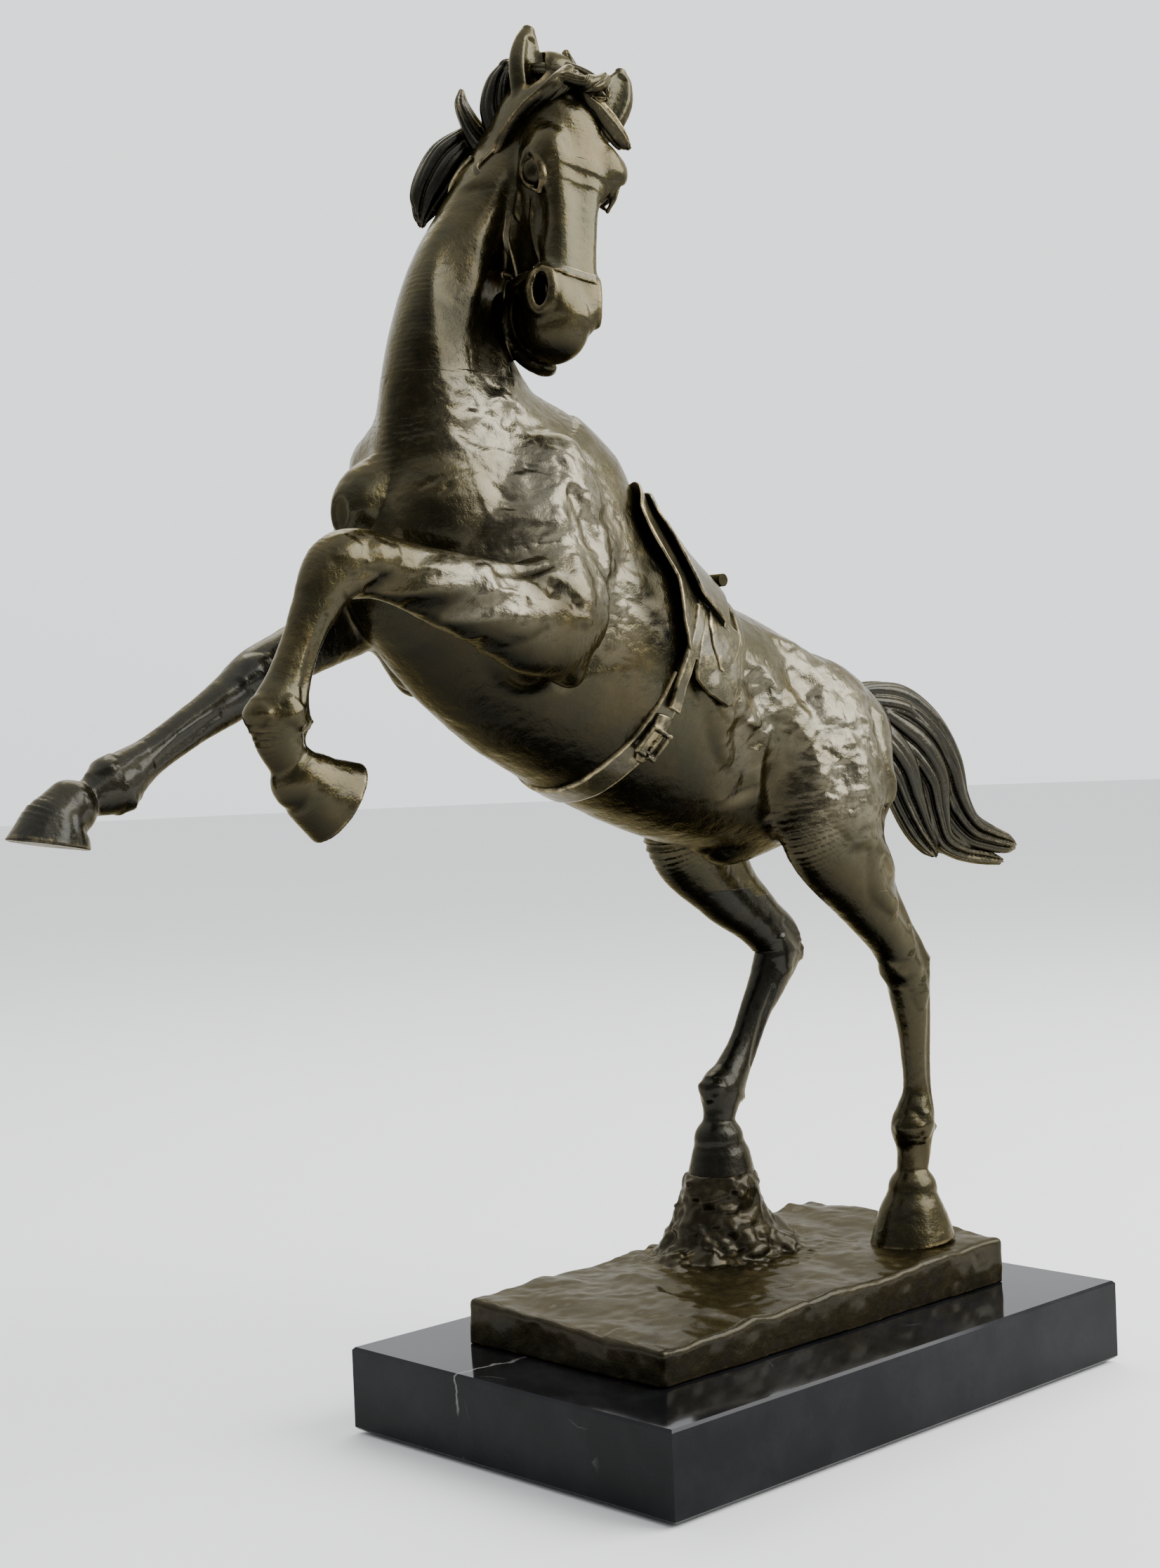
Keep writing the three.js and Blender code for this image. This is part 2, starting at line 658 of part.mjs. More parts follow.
function buildHorse() {
  const torsoGrown = torsoCasting(GAP);
  const neckGrown = loft('neck', { grow: GAP });
  const headGrown = loft('head', { grow: GAP });
  const rightEarGrown = loft('rightEar', { grow: GAP });
  const leftEarGrown = loft('leftEar', { grow: GAP });
  const tackGrown = Object.values(tackPlates(LEATHER_GAP));
  const halterGrown = Object.values(halterPlates(LEATHER_GAP));
  const groundGrown = groundCasting(GAP);
  const moundGrown = loft('mound', { grow: GAP });

  const neck = cutBy(loft('neck'), [torsoGrown, ...tackGrown, ...halterGrown]);
  const skull = [neckGrown, headGrown];
  const torso = cutBy(torsoCasting(), tackGrown);
  addPiece('torso_casting', torso, BRONZE);
  addPiece('neck_casting', neck, BRONZE);
  addPiece('head_casting', cutBy(loft('head'), [neckGrown, ...halterGrown]), BRONZE);
  addPiece('lower_jaw', cutBy(loft('jaw'), [...skull, ...halterGrown]), BRONZE);
  addPiece('right_ear', cutBy(loft('rightEar'), skull), BRONZE);
  addPiece('left_ear', cutBy(loft('leftEar'), skull), BRONZE);
  addPiece('mane', cutBy(loft('mane'), [...skull, rightEarGrown, ...halterGrown]), DARK_BRONZE);
  addPiece('forelock', cutBy(loft('forelock'), [...skull, rightEarGrown, leftEarGrown]), BRONZE);
  const tail = loft('tail').add(loft('tailCurl'));
  addPiece('tail', cutBy(tail, [torsoGrown]), DARK_BRONZE);

  const legGrown = {};
  for (const [leg, name] of Object.entries(LEGS)) {
    const casting = cutBy(loft(leg, { from: SHOULDER + WELD }), [torsoGrown, neckGrown]);
    addPiece(name, casting, name.startsWith('left') ? BRONZE : DARK_BRONZE);
    legGrown[leg] = loft(leg, { grow: GAP, from: SHOULDER });
  }
  addPiece('left_fore_hoof', cutBy(loft('leftForeHoof'), [legGrown.leftFore]), BRONZE);
  addPiece('right_fore_hoof', cutBy(loft('rightForeHoof'), [legGrown.rightFore]), BRONZE);

  const dowel = ([x, y, z], grow) => cylinder(
    x, y, z - DOWEL.below - grow, z + DOWEL.above + grow, DOWEL.radius + grow, 16,
  );
  const leftHoof = cutBy(loft('leftHindHoof'), [legGrown.leftHind, groundGrown, dowel(DOWEL.left, GAP)]);
  const rightHoof = cutBy(loft('rightHindHoof'), [legGrown.rightHind, moundGrown, dowel(DOWEL.right, GAP)]);
  addPiece('left_hind_hoof', leftHoof, BRONZE);
  addPiece('right_hind_hoof', rightHoof, DARK_BRONZE);
  addPiece('left_hoof_dowel', dowel(DOWEL.left, 0), STEEL);
  addPiece('right_hoof_dowel', dowel(DOWEL.right, 0), STEEL);

  addPiece('rock_mound', cutBy(loft('mound'), [groundGrown, dowel(DOWEL.right, GAP)]), BRONZE);
  const studHoles = [-FIXING.reach, FIXING.reach].map((x) => cylinder(
    x, 0, SLAB_FOOT - 1, SLAB_FOOT + FIXING.engaged + GAP, FIXING.stud + GAP,
  ));
  addPiece('ground_casting', cutBy(groundCasting(), [...studHoles, dowel(DOWEL.left, GAP)]), BRONZE);
}

function buildTack() {
  for (const [name, solid] of Object.entries(tackPlates())) {
    addPiece(name, solid, RUBBED_BRONZE);
  }
  const band = halterPlates(GAP).noseband;
  for (const [name, solid] of Object.entries(halterPlates())) {
    addPiece(name, name === 'noseband' ? solid : solid.subtract(band), RUBBED_BRONZE);
  }
  buildBuckle();

  const { u, radius, length } = CANTLE_ROLL;
  const roll = new THREE.CylinderGeometry(radius, radius, length, 16);
  const centre = surfacePoint(CHAINS.trunk, u, 0, seatLift + radius + GAP);
  roll.translate(centre.x, centre.y, centre.z);
  addPiece('cantle_roll', toSolid(roll), RUBBED_BRONZE);
}

buildPlinth();
buildFixings();
buildHorse();
buildTack();

export default group;
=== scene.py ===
"""A rearing horse in cast bronze, saddled and haltered, on a black marble plinth.

The horse is sculpted as a distance field: limbs are chains of oval sections, muscles are
ellipsoids blended onto them, folds and cuts are taken out of them, and the field is turned
into meshes. Sculpting is done in millimetres, and every mesh is made in metres.
"""
import math

import bpy
import numpy as np
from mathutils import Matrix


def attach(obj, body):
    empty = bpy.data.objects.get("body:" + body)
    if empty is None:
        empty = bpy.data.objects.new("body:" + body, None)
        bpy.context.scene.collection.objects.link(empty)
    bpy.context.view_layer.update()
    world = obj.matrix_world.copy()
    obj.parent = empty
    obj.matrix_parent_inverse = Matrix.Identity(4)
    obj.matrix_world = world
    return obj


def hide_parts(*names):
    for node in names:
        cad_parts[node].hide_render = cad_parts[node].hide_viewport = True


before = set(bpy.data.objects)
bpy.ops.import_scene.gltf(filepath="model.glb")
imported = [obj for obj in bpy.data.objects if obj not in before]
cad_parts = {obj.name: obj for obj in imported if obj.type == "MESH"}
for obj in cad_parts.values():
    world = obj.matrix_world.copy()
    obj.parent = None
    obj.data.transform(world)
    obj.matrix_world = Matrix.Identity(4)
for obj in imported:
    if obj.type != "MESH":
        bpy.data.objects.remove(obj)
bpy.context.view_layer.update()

import openvdb
from mathutils import Vector

MM = 0.001
FAR = 14.0  # the field is only exact this close to the surface, in mm
CHUNK = 60000  # points evaluated at once


# ---------------------------------------------------------------- noise

def hashed(cells, seed):
    """A repeatable random number in 0..1 for each integer cell."""
    mixed = (cells[:, 0] * 73856093) ^ (cells[:, 1] * 19349663) ^ (cells[:, 2] * 83492791)
    mixed = (mixed ^ (seed * 374761393)) & 0x7FFFFFFF
    mixed = ((mixed ^ (mixed >> 13)) * 1274126177) & 0x7FFFFFFF
    return ((mixed ^ (mixed >> 16)) & 0xFFFF) / 65535.0


def noise(points, size, seed=0):
    """Smooth value noise in -1..1 with features about `size` mm wide."""
    scaled = points / size
    base = np.floor(scaled).astype(np.int64)
    part = scaled - base
    part = part * part * (3 - 2 * part)
    total = np.zeros(len(points))
    for corner in np.ndindex(2, 2, 2):
        weight = np.prod(np.where(corner, part, 1 - part), axis=1)
        total += weight * hashed(base + np.array(corner), seed)
    return total * 2 - 1


# ---------------------------------------------------------------- shapes of the field

def unit(vector):
    return vector / np.maximum(np.linalg.norm(vector, axis=-1, keepdims=True), 1e-9)


def smooth_union(a, b, k):
    h = np.clip(0.5 + 0.5 * (b - a) / k, 0, 1)
    return b + (a - b) * h - k * h * (1 - h)


def smooth_cut(a, b, k):
    return -smooth_union(-a, b, k)


def catmull_rom(rows, u):
    """Rows interpolated at the station numbers u."""
    last = len(rows) - 1
    i = np.clip(np.floor(u).astype(int), 0, last - 1)
    t = (u - i)[:, None]
    p0, p1 = rows[np.maximum(i - 1, 0)], rows[i]
    p2, p3 = rows[i + 1], rows[np.minimum(i + 2, last)]
    return 0.5 * (2 * p1 + (p2 - p0) * t + (2 * p0 - 5 * p1 + 4 * p2 - p3) * t * t
                  + (3 * p1 - p0 - 3 * p2 + p3) * t ** 3)


class Chain:
    """Oval sections along a curve. Each station is [x, y, z, half width, half depth]."""

    def __init__(self, stations, side=(0, 1, 0), turn=None, step=1.5, strands=None, power=2.0):
        rows = np.array(stations, float)
        self.power = power
        fine = np.linspace(0, len(rows) - 1, 24 * len(rows))
        path = catmull_rom(rows, fine)
        length = np.concatenate([[0], np.cumsum(np.linalg.norm(np.diff(path[:, :3], axis=0), axis=1))])
        count = max(4, int(length[-1] / step))
        self.u = np.interp(np.linspace(0, length[-1], count), length, fine)
        rows = catmull_rom(rows, self.u)
        self.centre, self.width, self.depth = rows[:, :3], rows[:, 3], rows[:, 4]
        self.along = unit(np.gradient(self.centre, axis=0))
        share = (self.u / self.u[-1])[:, None]
        across = np.array(side, float) * (1 - share) + np.array(side if turn is None else turn, float) * share
        across = across - self.along * np.sum(across * self.along, axis=1, keepdims=True)
        self.side = unit(across)
        self.normal = np.cross(self.side, self.along)
        self.gap = length[-1] / (count - 1)
        self.strands = strands
        reach = np.maximum(self.width, self.depth)[:, None]
        self.low = (self.centre - reach).min(axis=0)
        self.high = (self.centre + reach).max(axis=0)

    def nearest(self, points):
        reach = (self.centre ** 2).sum(axis=1)
        return np.argmin(reach[None, :] - 2 * points @ self.centre.T, axis=1)

    def locate(self, points):
        """The section through each point, and the point's place past it, across it and above it."""
        k = self.nearest(points)
        last = len(self.u) - 1
        table = np.concatenate([self.centre, self.along, self.side, self.normal, self.width[:, None],
                                self.depth[:, None], self.u[:, None]], axis=1)
        section = table[k]
        slide = np.zeros(len(points))
        for _ in range(2):
            t = np.einsum("ij,ij->i", points - section[:, :3], section[:, 3:6])
            slide = np.clip(slide + t / self.gap, np.where(k == 0, 0, -1), np.where(k == last, 0, 1))
            other = np.clip(k + np.where(slide < 0, -1, 1), 0, last)
            share = np.abs(slide)[:, None]
            section = table[k] * (1 - share) + table[other] * share
        away = points - section[:, :3]
        t, s, n = (np.einsum("ij,ij->i", away, section[:, j:j + 3]) for j in (3, 6, 9))
        over = np.where(k == 0, np.minimum(t, 0), np.where(k == last, np.maximum(t, 0), 0))
        return over, s, n, np.maximum(section[:, 12], 0.3), np.maximum(section[:, 13], 0.3), section[:, 14]

    def distance(self, points):
        over, s, n, width, depth, u = self.locate(points)
        cap = np.minimum(width, depth)
        sizes = np.stack([width, depth, cap])
        parts = np.abs(np.stack([s, n, over])) / sizes
        size = np.maximum((parts ** self.power).sum(axis=0), 1e-9) ** (1 / self.power)
        steep = size ** (1 - self.power) * np.sqrt(((parts ** (self.power - 1) / sizes) ** 2).sum(axis=0))
        result = (size - 1) / np.maximum(steep, 1e-6)
        result = np.where(size < 0.05, -np.minimum(width, depth), result)
        if self.strands:
            count, deep, twist = self.strands
            turn = np.arctan2(s / width, n / depth)
            flow = turn * count / 2 + u * twist + 0.9 * np.sin(2 * turn + u * 0.5)
            wave = np.abs(np.sin(flow))
            fine = np.abs(np.sin(flow * 2.3 + 1.0))
            result = result + deep * (1 - wave) ** 1.6 + deep * 0.25 * (1 - fine) ** 2
        return result

    def station(self, points):
        return self.locate(points)[5]


def length_of(path):
    return np.concatenate([[0], np.cumsum(np.linalg.norm(np.diff(path, axis=0), axis=1))])


class Ellipsoid:
    """An oval body: centre, three radii, the first radius's direction and the third's."""

    def __init__(self, centre, radii, along=(1, 0, 0), out=(0, 1, 0)):
        self.centre = np.array(centre, float)
        self.radii = np.array(radii, float)
        first = unit(np.array(along, float))
        third = np.array(out, float)
        third = unit(third - first * (third @ first))
        self.axes = np.stack([first, np.cross(third, first), third])
        reach = max(radii)
        self.low = self.centre - reach
        self.high = self.centre + reach

    def distance(self, points):
        local = (points - self.centre) @ self.axes.T
        k0 = np.linalg.norm(local / self.radii, axis=1)
        k1 = np.linalg.norm(local / self.radii ** 2, axis=1)
        result = k0 * (k0 - 1) / np.maximum(k1, 1e-6)
        return np.where(k0 < 0.05, -self.radii.min(), result)


def cord(points, radius, taper=None):
    """A round line through points: a vein, a fold or a cut."""
    ends = [1.0] * len(points) if taper is None else taper
    return Chain([[*p, radius * e, radius * e] for p, e in zip(points, ends)], side=(0.3, 0.9, 0.2), step=1.0)


class Sculpture:
    """Shapes joined to and cut from one another in order, each with the breadth of its blend.

    A pair of breadths is for a chain: the blend at its first station and at its last.
    """

    def __init__(self):
        self.steps = []

    def add(self, shape, k):
        self.steps.append(("add", shape, k))

    def cut(self, shape, k):
        self.steps.append(("cut", shape, k))

    def rest(self, places):
        """The nearest points of the surface to some places, and the ways out of it."""
        points = np.atleast_2d(np.array(places, float))
        for _ in range(6):
            outs = unit(self.slope(points))
            points = points - outs * np.clip(self.distance(points), -4, 4)[:, None]
        return points, outs

    def low_form(self, place, along, length, breadth, height):
        """A long flat oval that follows the surface and stands `height` out of it."""
        spots, outs = self.rest(place)
        way = unit(np.array(along, float))
        way = unit(way - outs[0] * (way @ outs[0]))
        spots, outs = self.rest(spots + np.outer(np.linspace(-1, 1, 5) * length, way))
        size = np.array([0.35, 0.8, 1, 0.8, 0.35])
        rows = [[*(spot - out * height * 2 * t), breadth * 1.34 * t, abs(height) * 3 * t]
                for spot, out, t in zip(spots, outs, size)]
        return Chain(rows, side=np.cross(outs[0], way), turn=np.cross(outs[-1], way), step=1.0)

    def swell(self, place, along, length, breadth, rise, k):
        """A low hill on the surface: its half length, half breadth and height."""
        self.add(self.low_form(place, along, length, breadth, rise), k)

    def dent(self, place, along, length, breadth, deep, k):
        """A shallow hollow in the surface."""
        self.cut(self.low_form(place, along, length, breadth, -deep), k)

    def vein(self, places, radius, k=1.2):
        """A raised line lying on the surface through the given places."""
        points, outs = self.rest(places)
        taper = [0.4] + [1.0] * (len(points) - 2) + [0.4]
        self.add(cord(points - outs * radius * 0.2, radius, taper), k)

    def distance(self, points):
        result = np.empty(len(points))
        for start in range(0, len(points), CHUNK):
            result[start:start + CHUNK] = self._chunk(points[start:start + CHUNK])
        return result

    def _chunk(self, points):
        field = np.full(len(points), FAR)
        low, high = points.min(axis=0), points.max(axis=0)
        for kind, shape, k in self.steps:
            room = FAR if kind == "add" else np.max(k) + 1
            if np.any(shape.low - room > high) or np.any(shape.high + room < low):
                continue
            near = np.all((points > shape.low - room) & (points < shape.high + room), axis=1)
            if not near.any():
                continue
            chosen = points[near]
            other = shape.distance(chosen)
            blend = np.interp(shape.station(chosen), (0, shape.u[-1]), k) if isinstance(k, tuple) else k
            join = smooth_union if kind == "add" else smooth_cut
            field[near] = join(field[near], other, blend)
        return np.clip(field, -FAR, FAR)

    def slope(self, points, step=0.4):
        steps = np.eye(3) * step
        return np.stack([self.distance(points + s) - self.distance(points - s) for s in steps], axis=1)


# ---------------------------------------------------------------- from the field to meshes

BLOCK = 8  # voxels along a block's edge
HALF_DIAGONAL = 0.87  # of a block, in block edges
STEEPEST = 1.25  # the field rises at most this fast


def extract(sculpture, low, high, voxel, keep=None):
    """Points (mm) and quads of the field's surface inside the box."""
    low, high = np.array(low, float), np.array(high, float)
    blocks = np.ceil((high - low) / (voxel * BLOCK)).astype(int)
    size = blocks * BLOCK
    corners = np.stack(np.meshgrid(*[np.arange(n) for n in blocks], indexing="ij"), axis=-1).reshape(-1, 3)

    def field_at(places):
        field = sculpture.distance(places)
        return field if keep is None else np.maximum(field, keep(places))

    middle = low + (corners * BLOCK + (BLOCK - 1) / 2) * voxel
    rough = field_at(middle)
    dense = np.repeat(np.repeat(np.repeat(rough.reshape(blocks), BLOCK, 0), BLOCK, 1), BLOCK, 2)
    dense = dense.astype(np.float32)
    reach = voxel * BLOCK * HALF_DIAGONAL * STEEPEST + voxel
    active = corners[np.abs(rough) < reach]
    offsets = np.stack(np.meshgrid(*[np.arange(BLOCK)] * 3, indexing="ij"), axis=-1).reshape(-1, 3)
    batch = max(1, CHUNK // BLOCK ** 3)
    for start in range(0, len(active), batch):
        cells = (active[start:start + batch, None, :] * BLOCK + offsets[None]).reshape(-1, 3)
        values = field_at(low + cells * voxel)
        dense[cells[:, 0], cells[:, 1], cells[:, 2]] = values
    shell = np.ones(size, bool)
    shell[1:-1, 1:-1, 1:-1] = False
    dense[shell] = np.maximum(dense[shell], voxel)
    grid = openvdb.FloatGrid(float(FAR))
    grid.copyFromArray(dense, (0, 0, 0))
    points, triangles, quads = grid.convertToPolygons(0.0, 0.0)
    return low + points.astype(float) * voxel, triangles, quads


def settle(sculpture, points):
    """Moves points onto the surface and returns them with the normals."""
    slope = sculpture.slope(points)
    steep = np.linalg.norm(slope, axis=1, keepdims=True)
    normals = slope / np.maximum(steep, 1e-6)
    rate = np.maximum(steep[:, 0] / 0.8, 0.3)
    shift = np.clip(sculpture.distance(points) / rate, -0.6, 0.6)
    return points - normals * shift[:, None], normals


def openness(sculpture, points, normals):
    """1 on open high places, 0 in deep recesses. It sets where the dark patina of the hollows and painted
    shade go.
    """
    total = np.zeros(len(points))
    for reach, weight in ((2.0, 0.3), (4.5, 0.4), (9.0, 0.3)):
        clear = sculpture.distance(points + normals * reach)
        total += weight * np.clip(clear / reach, 0, 1)
    return total


def sharpness(sculpture, points, normals, depth=2.5):
    """Above 0 on ridges and edges, where hands and wax rub the patina away."""
    return np.clip(1 + sculpture.distance(points - normals * depth) / depth, 0, 1)


# ---------------------------------------------------------------- the horse, in millimetres

TRUNK = [
    [97, 0, 318, 18, 15], [82, 0, 314, 33, 23], [58, 0, 310, 41, 37], [25, 0, 310, 43, 52],
    [-10, 0, 318, 45, 57], [-44, 0, 328, 48, 58], [-80, 0, 348, 49, 63], [-112, 0, 369, 47, 67],
    [-146, 0, 388, 45, 63], [-176, 0, 402, 41, 52], [-198, 0, 411, 30, 37], [-210, 0, 416, 13, 18],
]
NECK = [
    [-126, 0, 404, 40, 64], [-146, 1, 430, 37, 60], [-158, 0, 460, 29, 48], [-158, 1, 495, 22, 38],
    [-144, 2, 530, 18, 31], [-130, -5, 560, 16, 26], [-118, -18, 584, 13, 20],
]
LEFT_FORE = [
    [-130, -38, 400, 12, 20], [-147, -50, 374, 16, 24], [-166, -54, 366, 15, 24], [-200, -52, 374, 12, 17],
    [-232, -48, 384, 10.5, 13], [-250, -45, 387.5, 11, 13.5], [-262, -45, 384, 10.5, 13],
    [-272, -45, 370, 8.2, 9.5], [-279, -45, 357, 7, 7.8], [-286, -45, 342, 7.8, 9],
    [-290.5, -45, 330, 10.5, 12.5], [-291, -45, 321, 8.8, 9.6], [-285, -45, 311, 7.8, 8.6],
    [-281, -45, 305, 8.5, 9.5],
]
RIGHT_FORE = [
    [-124, 40, 398, 13, 24], [-150, 45, 380, 16, 21], [-180, 42, 373, 14, 16], [-205, 38, 363, 12, 13],
    [-226, 36, 355, 10.5, 11.5], [-243, 34, 348, 10.2, 11], [-258, 32, 338.5, 9.2, 10],
    [-276, 31, 329, 7.2, 8.2], [-298, 30, 317, 6.8, 7.8], [-312, 29, 309, 8.8, 10.5],
    [-319, 28, 305, 8.8, 10.8], [-330, 28, 301, 6.8, 7.4], [-338, 28, 298, 8, 9],
]
LEFT_HIND = [
    [56, -22, 322, 20, 38], [38, -32, 298, 22, 40], [33, -38, 270, 18, 32], [55, -37, 238, 13, 19.5],
    [76, -34, 216, 10.5, 13.5], [90, -32, 199, 10, 13.5], [93, -32, 184, 9, 11.6], [95.5, -32, 161, 7, 8.6],
    [96, -32, 138, 6.4, 7.4], [94.5, -32, 127, 8.6, 10], [93, -31, 118, 10, 12], [93, -31, 107, 8, 9],
    [90.5, -31, 94, 7.2, 8.2], [90.5, -31, 86, 8.5, 9.5],
]
RIGHT_HIND = [
    [52, 22, 322, 20, 38], [30, 33, 296, 22, 40], [16, 36, 268, 18, 30], [34, 34, 240, 13, 19],
    [54, 31, 222, 10.5, 14], [67, 30, 208, 10, 14], [60, 30, 193, 8.8, 11], [49, 30, 178, 7, 8.6],
    [39.5, 30, 162, 6.6, 8], [29, 30, 148, 8, 9.6], [22, 30, 140, 9.8, 12], [19, 29, 131, 7.8, 8.8],
    [17.5, 29, 123, 7.2, 8], [17.5, 29, 116, 8.5, 9.5],
]
SHEATH = [[28, 0, 276, 12, 12], [10, -1, 268, 13, 13], [-6, -1, 264, 11, 11], [-16, -1, 264, 5, 5]]

# Hooves: stations from the coronet to the sole, then the direction the sole faces.
LEFT_FORE_HOOF = [[-283, -45, 306, 9, 10], [-279, -45, 304, 11.3, 13], [-272, -45, 299.5, 12.6, 15.5],
                  [-256, -45, 291, 15.2, 20.5]]
RIGHT_FORE_HOOF = [[-336, 28, 299, 8.3, 9.3], [-340.5, 28, 295.5, 10.4, 11.6], [-344, 28, 290.5, 12, 14.5],
                   [-349, 28, 277, 14.6, 20]]
LEFT_HIND_HOOF = [[91, -31, 88, 9.6, 10.8], [90.5, -31, 83.5, 12.8, 14.4], [90, -31, 74, 16.4, 19],
                  [90, -31, 53, 22, 26]]
RIGHT_HIND_HOOF = [[17.5, 29, 118, 9.6, 10.8], [18, 29, 112.5, 12.8, 14.4], [18.5, 29, 104, 14.6, 17],
                   [18, 29, 83, 18.6, 22.6]]


class Half:
    """Everything on the far side of a plane, out to a given reach."""

    def __init__(self, place, out, reach):
        self.place = np.array(place, float)
        self.out = unit(np.array(out, float))
        self.reach = reach
        self.low, self.high = self.place - reach, self.place + reach

    def distance(self, points):
        away = points - self.place
        return np.maximum(-(away @ self.out), np.linalg.norm(away, axis=1) - self.reach)


def add_hoof(horse, stations, sole, facing):
    """A flared hoof with its coronet band, cut flat at the sole."""
    horse.add(Chain(stations), 2.0)
    first, second = np.array(stations[0]), np.array(stations[1])
    band = first * 0.72 + second * 0.28
    ahead = unit(second[:3] - first[:3]) * 0.8
    horse.add(Chain([[*(band[:3] - ahead), band[3] + 1.0, band[4] + 1.0],
                     [*(band[:3] + ahead), band[3] + 1.0, band[4] + 1.0]], step=0.5), 1.6)
    horse.cut(Half(sole, facing, 30), 0.8)


def both_sides(place, along):
    return [(np.array(place, float), np.array(along, float)),
            (np.array(place, float) * (1, -1, 1), np.array(along, float) * (1, -1, 1))]


# Muscles: place on the skin, direction, half length, half breadth, rise, blend.
TRUNK_SWELLS = [
    ((-151, -60, 384), (-0.06, 0.1, -1), 26, 6, 1.8, 4),  # ridge down to the elbow
    ((-166, -50, 408), (-0.6, 0.2, -0.8), 24, 11, 2.0, 6),  # front of the shoulder blade
    ((-196, -30, 414), (-0.7, 0.6, -0.3), 18, 13, 2.4, 6),  # breast
    ((20, -30, 350), (0.9, -0.3, -0.4), 13, 8, 1.8, 5),  # point of the hip
    ((6, -48, 312), (0.2, -0.1, -1), 20, 9, 2.0, 5),  # front of the thigh
    ((34, -50, 322), (0.3, 0, -1), 24, 14, 2.0, 7),  # croup
    ((30, -57, 286), (0.2, 0, -1), 22, 13, 2.2, 6),  # buttock
    ((66, -38, 296), (0.1, 0, -1), 24, 9, 1.6, 6),  # back of the thigh
    ((-50, -47, 318), (0.5, 0, -0.85), 22, 5, 1.5, 5),  # last rib
]
TRUNK_DENTS = [
    ((-167, -66, 377), (0.75, -0.1, -0.6), 12, 5, 3.6, 3.5),  # fold above the elbow
    ((-180, -62, 386), (1, 0, 0.1), 16, 4, 2.4, 2.5),  # between forearm and breast
    ((-197, -28, 422), (-0.5, 0.6, -0.5), 5, 1.6, 1.0, 1.2),  # two strokes on the breast
    ((-192, -31, 419), (-0.5, 0.5, -0.6), 4, 1.4, 0.8, 1.0),
    ((-24, -46, 331), (0.5, -0.1, -0.8), 13, 8, 3.0, 6),  # hollow of the flank
    ((-34, -43, 302), (0.4, 0, -0.9), 16, 11, 1.6, 8),  # flank in front of the stifle
    ((-6, -46, 296), (0.1, 0, -1), 22, 8, 1.8, 7),  # fold in front of the thigh
    ((20, -54, 304), (0.15, 0, -1), 14, 5, 0.6, 5),  # groove down the thigh
    ((10, -42, 334), (0.5, -0.3, -0.8), 12, 6, 1.4, 5),  # below the point of the hip
    ((-158, -48, 425), (-0.9, 0.1, -0.4), 15, 6, 1.2, 6),  # over the shoulder blade
    ((-134, -54, 398), (0.3, 0, -0.95), 22, 4, 1.4, 4),  # behind the blade's ridge
    ((-127, -50, 362), (0.1, 0, -1), 26, 6, 1.8, 6),  # between elbow and barrel
]
NECK_DENTS = [
    ((-172, -20, 508), (-0.2, 0.1, -1), 42, 10, 1.6, 6),  # below the crest
    ((-164, -28, 478), (-0.45, -0.1, -0.9), 40, 9, 1.6, 6),  # groove of the windpipe
]
# Small bones and sinews of the legs, in the same terms.
LEG_SWELLS = [
    ((-247, -57, 389), (1, 0, 0.3), 7, 5, 1.4, 2.5), ((-262, -56, 392), (0.3, 0, -1), 8, 5, 1.2, 2.5),
    ((-256, -56, 377), (1, 0, 0.5), 7, 3.5, 1.0, 2), ((-276, -45, 326), (0.2, 0, -1), 5, 5, 1.8, 2.5),
    ((-303, -45, 331), (0.4, 0, -1), 6, 6, 1.0, 3), ((-290, -54, 331), (0.5, 0, -1), 5, 4, 1.2, 2.5),
    ((108, -33, 202), (0.25, 0, 1), 9, 5, 3.0, 3), ((84, -41, 196), (0.3, 0, -1), 8, 5, 1.4, 3),
    ((78, -33, 195), (0.3, 0, -1), 8, 5, 1.0, 3), ((92, -41, 184), (0, 0, -1), 6, 4, 1.0, 2.5),
    ((104, -31, 117), (0, 0, -1), 5, 5, 1.2, 2.5), ((84, -36, 119), (0, 0, -1), 6, 5, 1.2, 2.5),
    ((92, -40, 120), (0, 0, -1), 5, 4, 1.0, 2.5),
    ((74, 30, 203), (0.3, 0, 1), 7, 5, 2.0, 3), ((62, 22, 204), (0.3, 0, -1), 8, 5, 1.4, 3),
    ((33, 29, 136), (0.2, 0, -1), 5, 5, 1.8, 2.5), ((11, 29, 144), (0.3, 0, -1), 6, 5, 1.2, 2.5),
    ((-249, 24, 350), (1, 0, 0.6), 8, 5, 1.4, 3), ((-311, 28, 298), (1, 0, 0.5), 5, 5, 1.6, 2.5),
    ((-322, 28, 313), (1, 0, 0.5), 6, 5, 1.0, 2.5),
    ((-222, -60, 378), (1, 0, 0.25), 24, 7, 1.6, 4), ((-196, -66, 366), (1, 0, 0.1), 22, 8, 1.4, 4),
    ((54, -48, 246), (0.6, 0, -0.8), 20, 8, 1.6, 5),
]
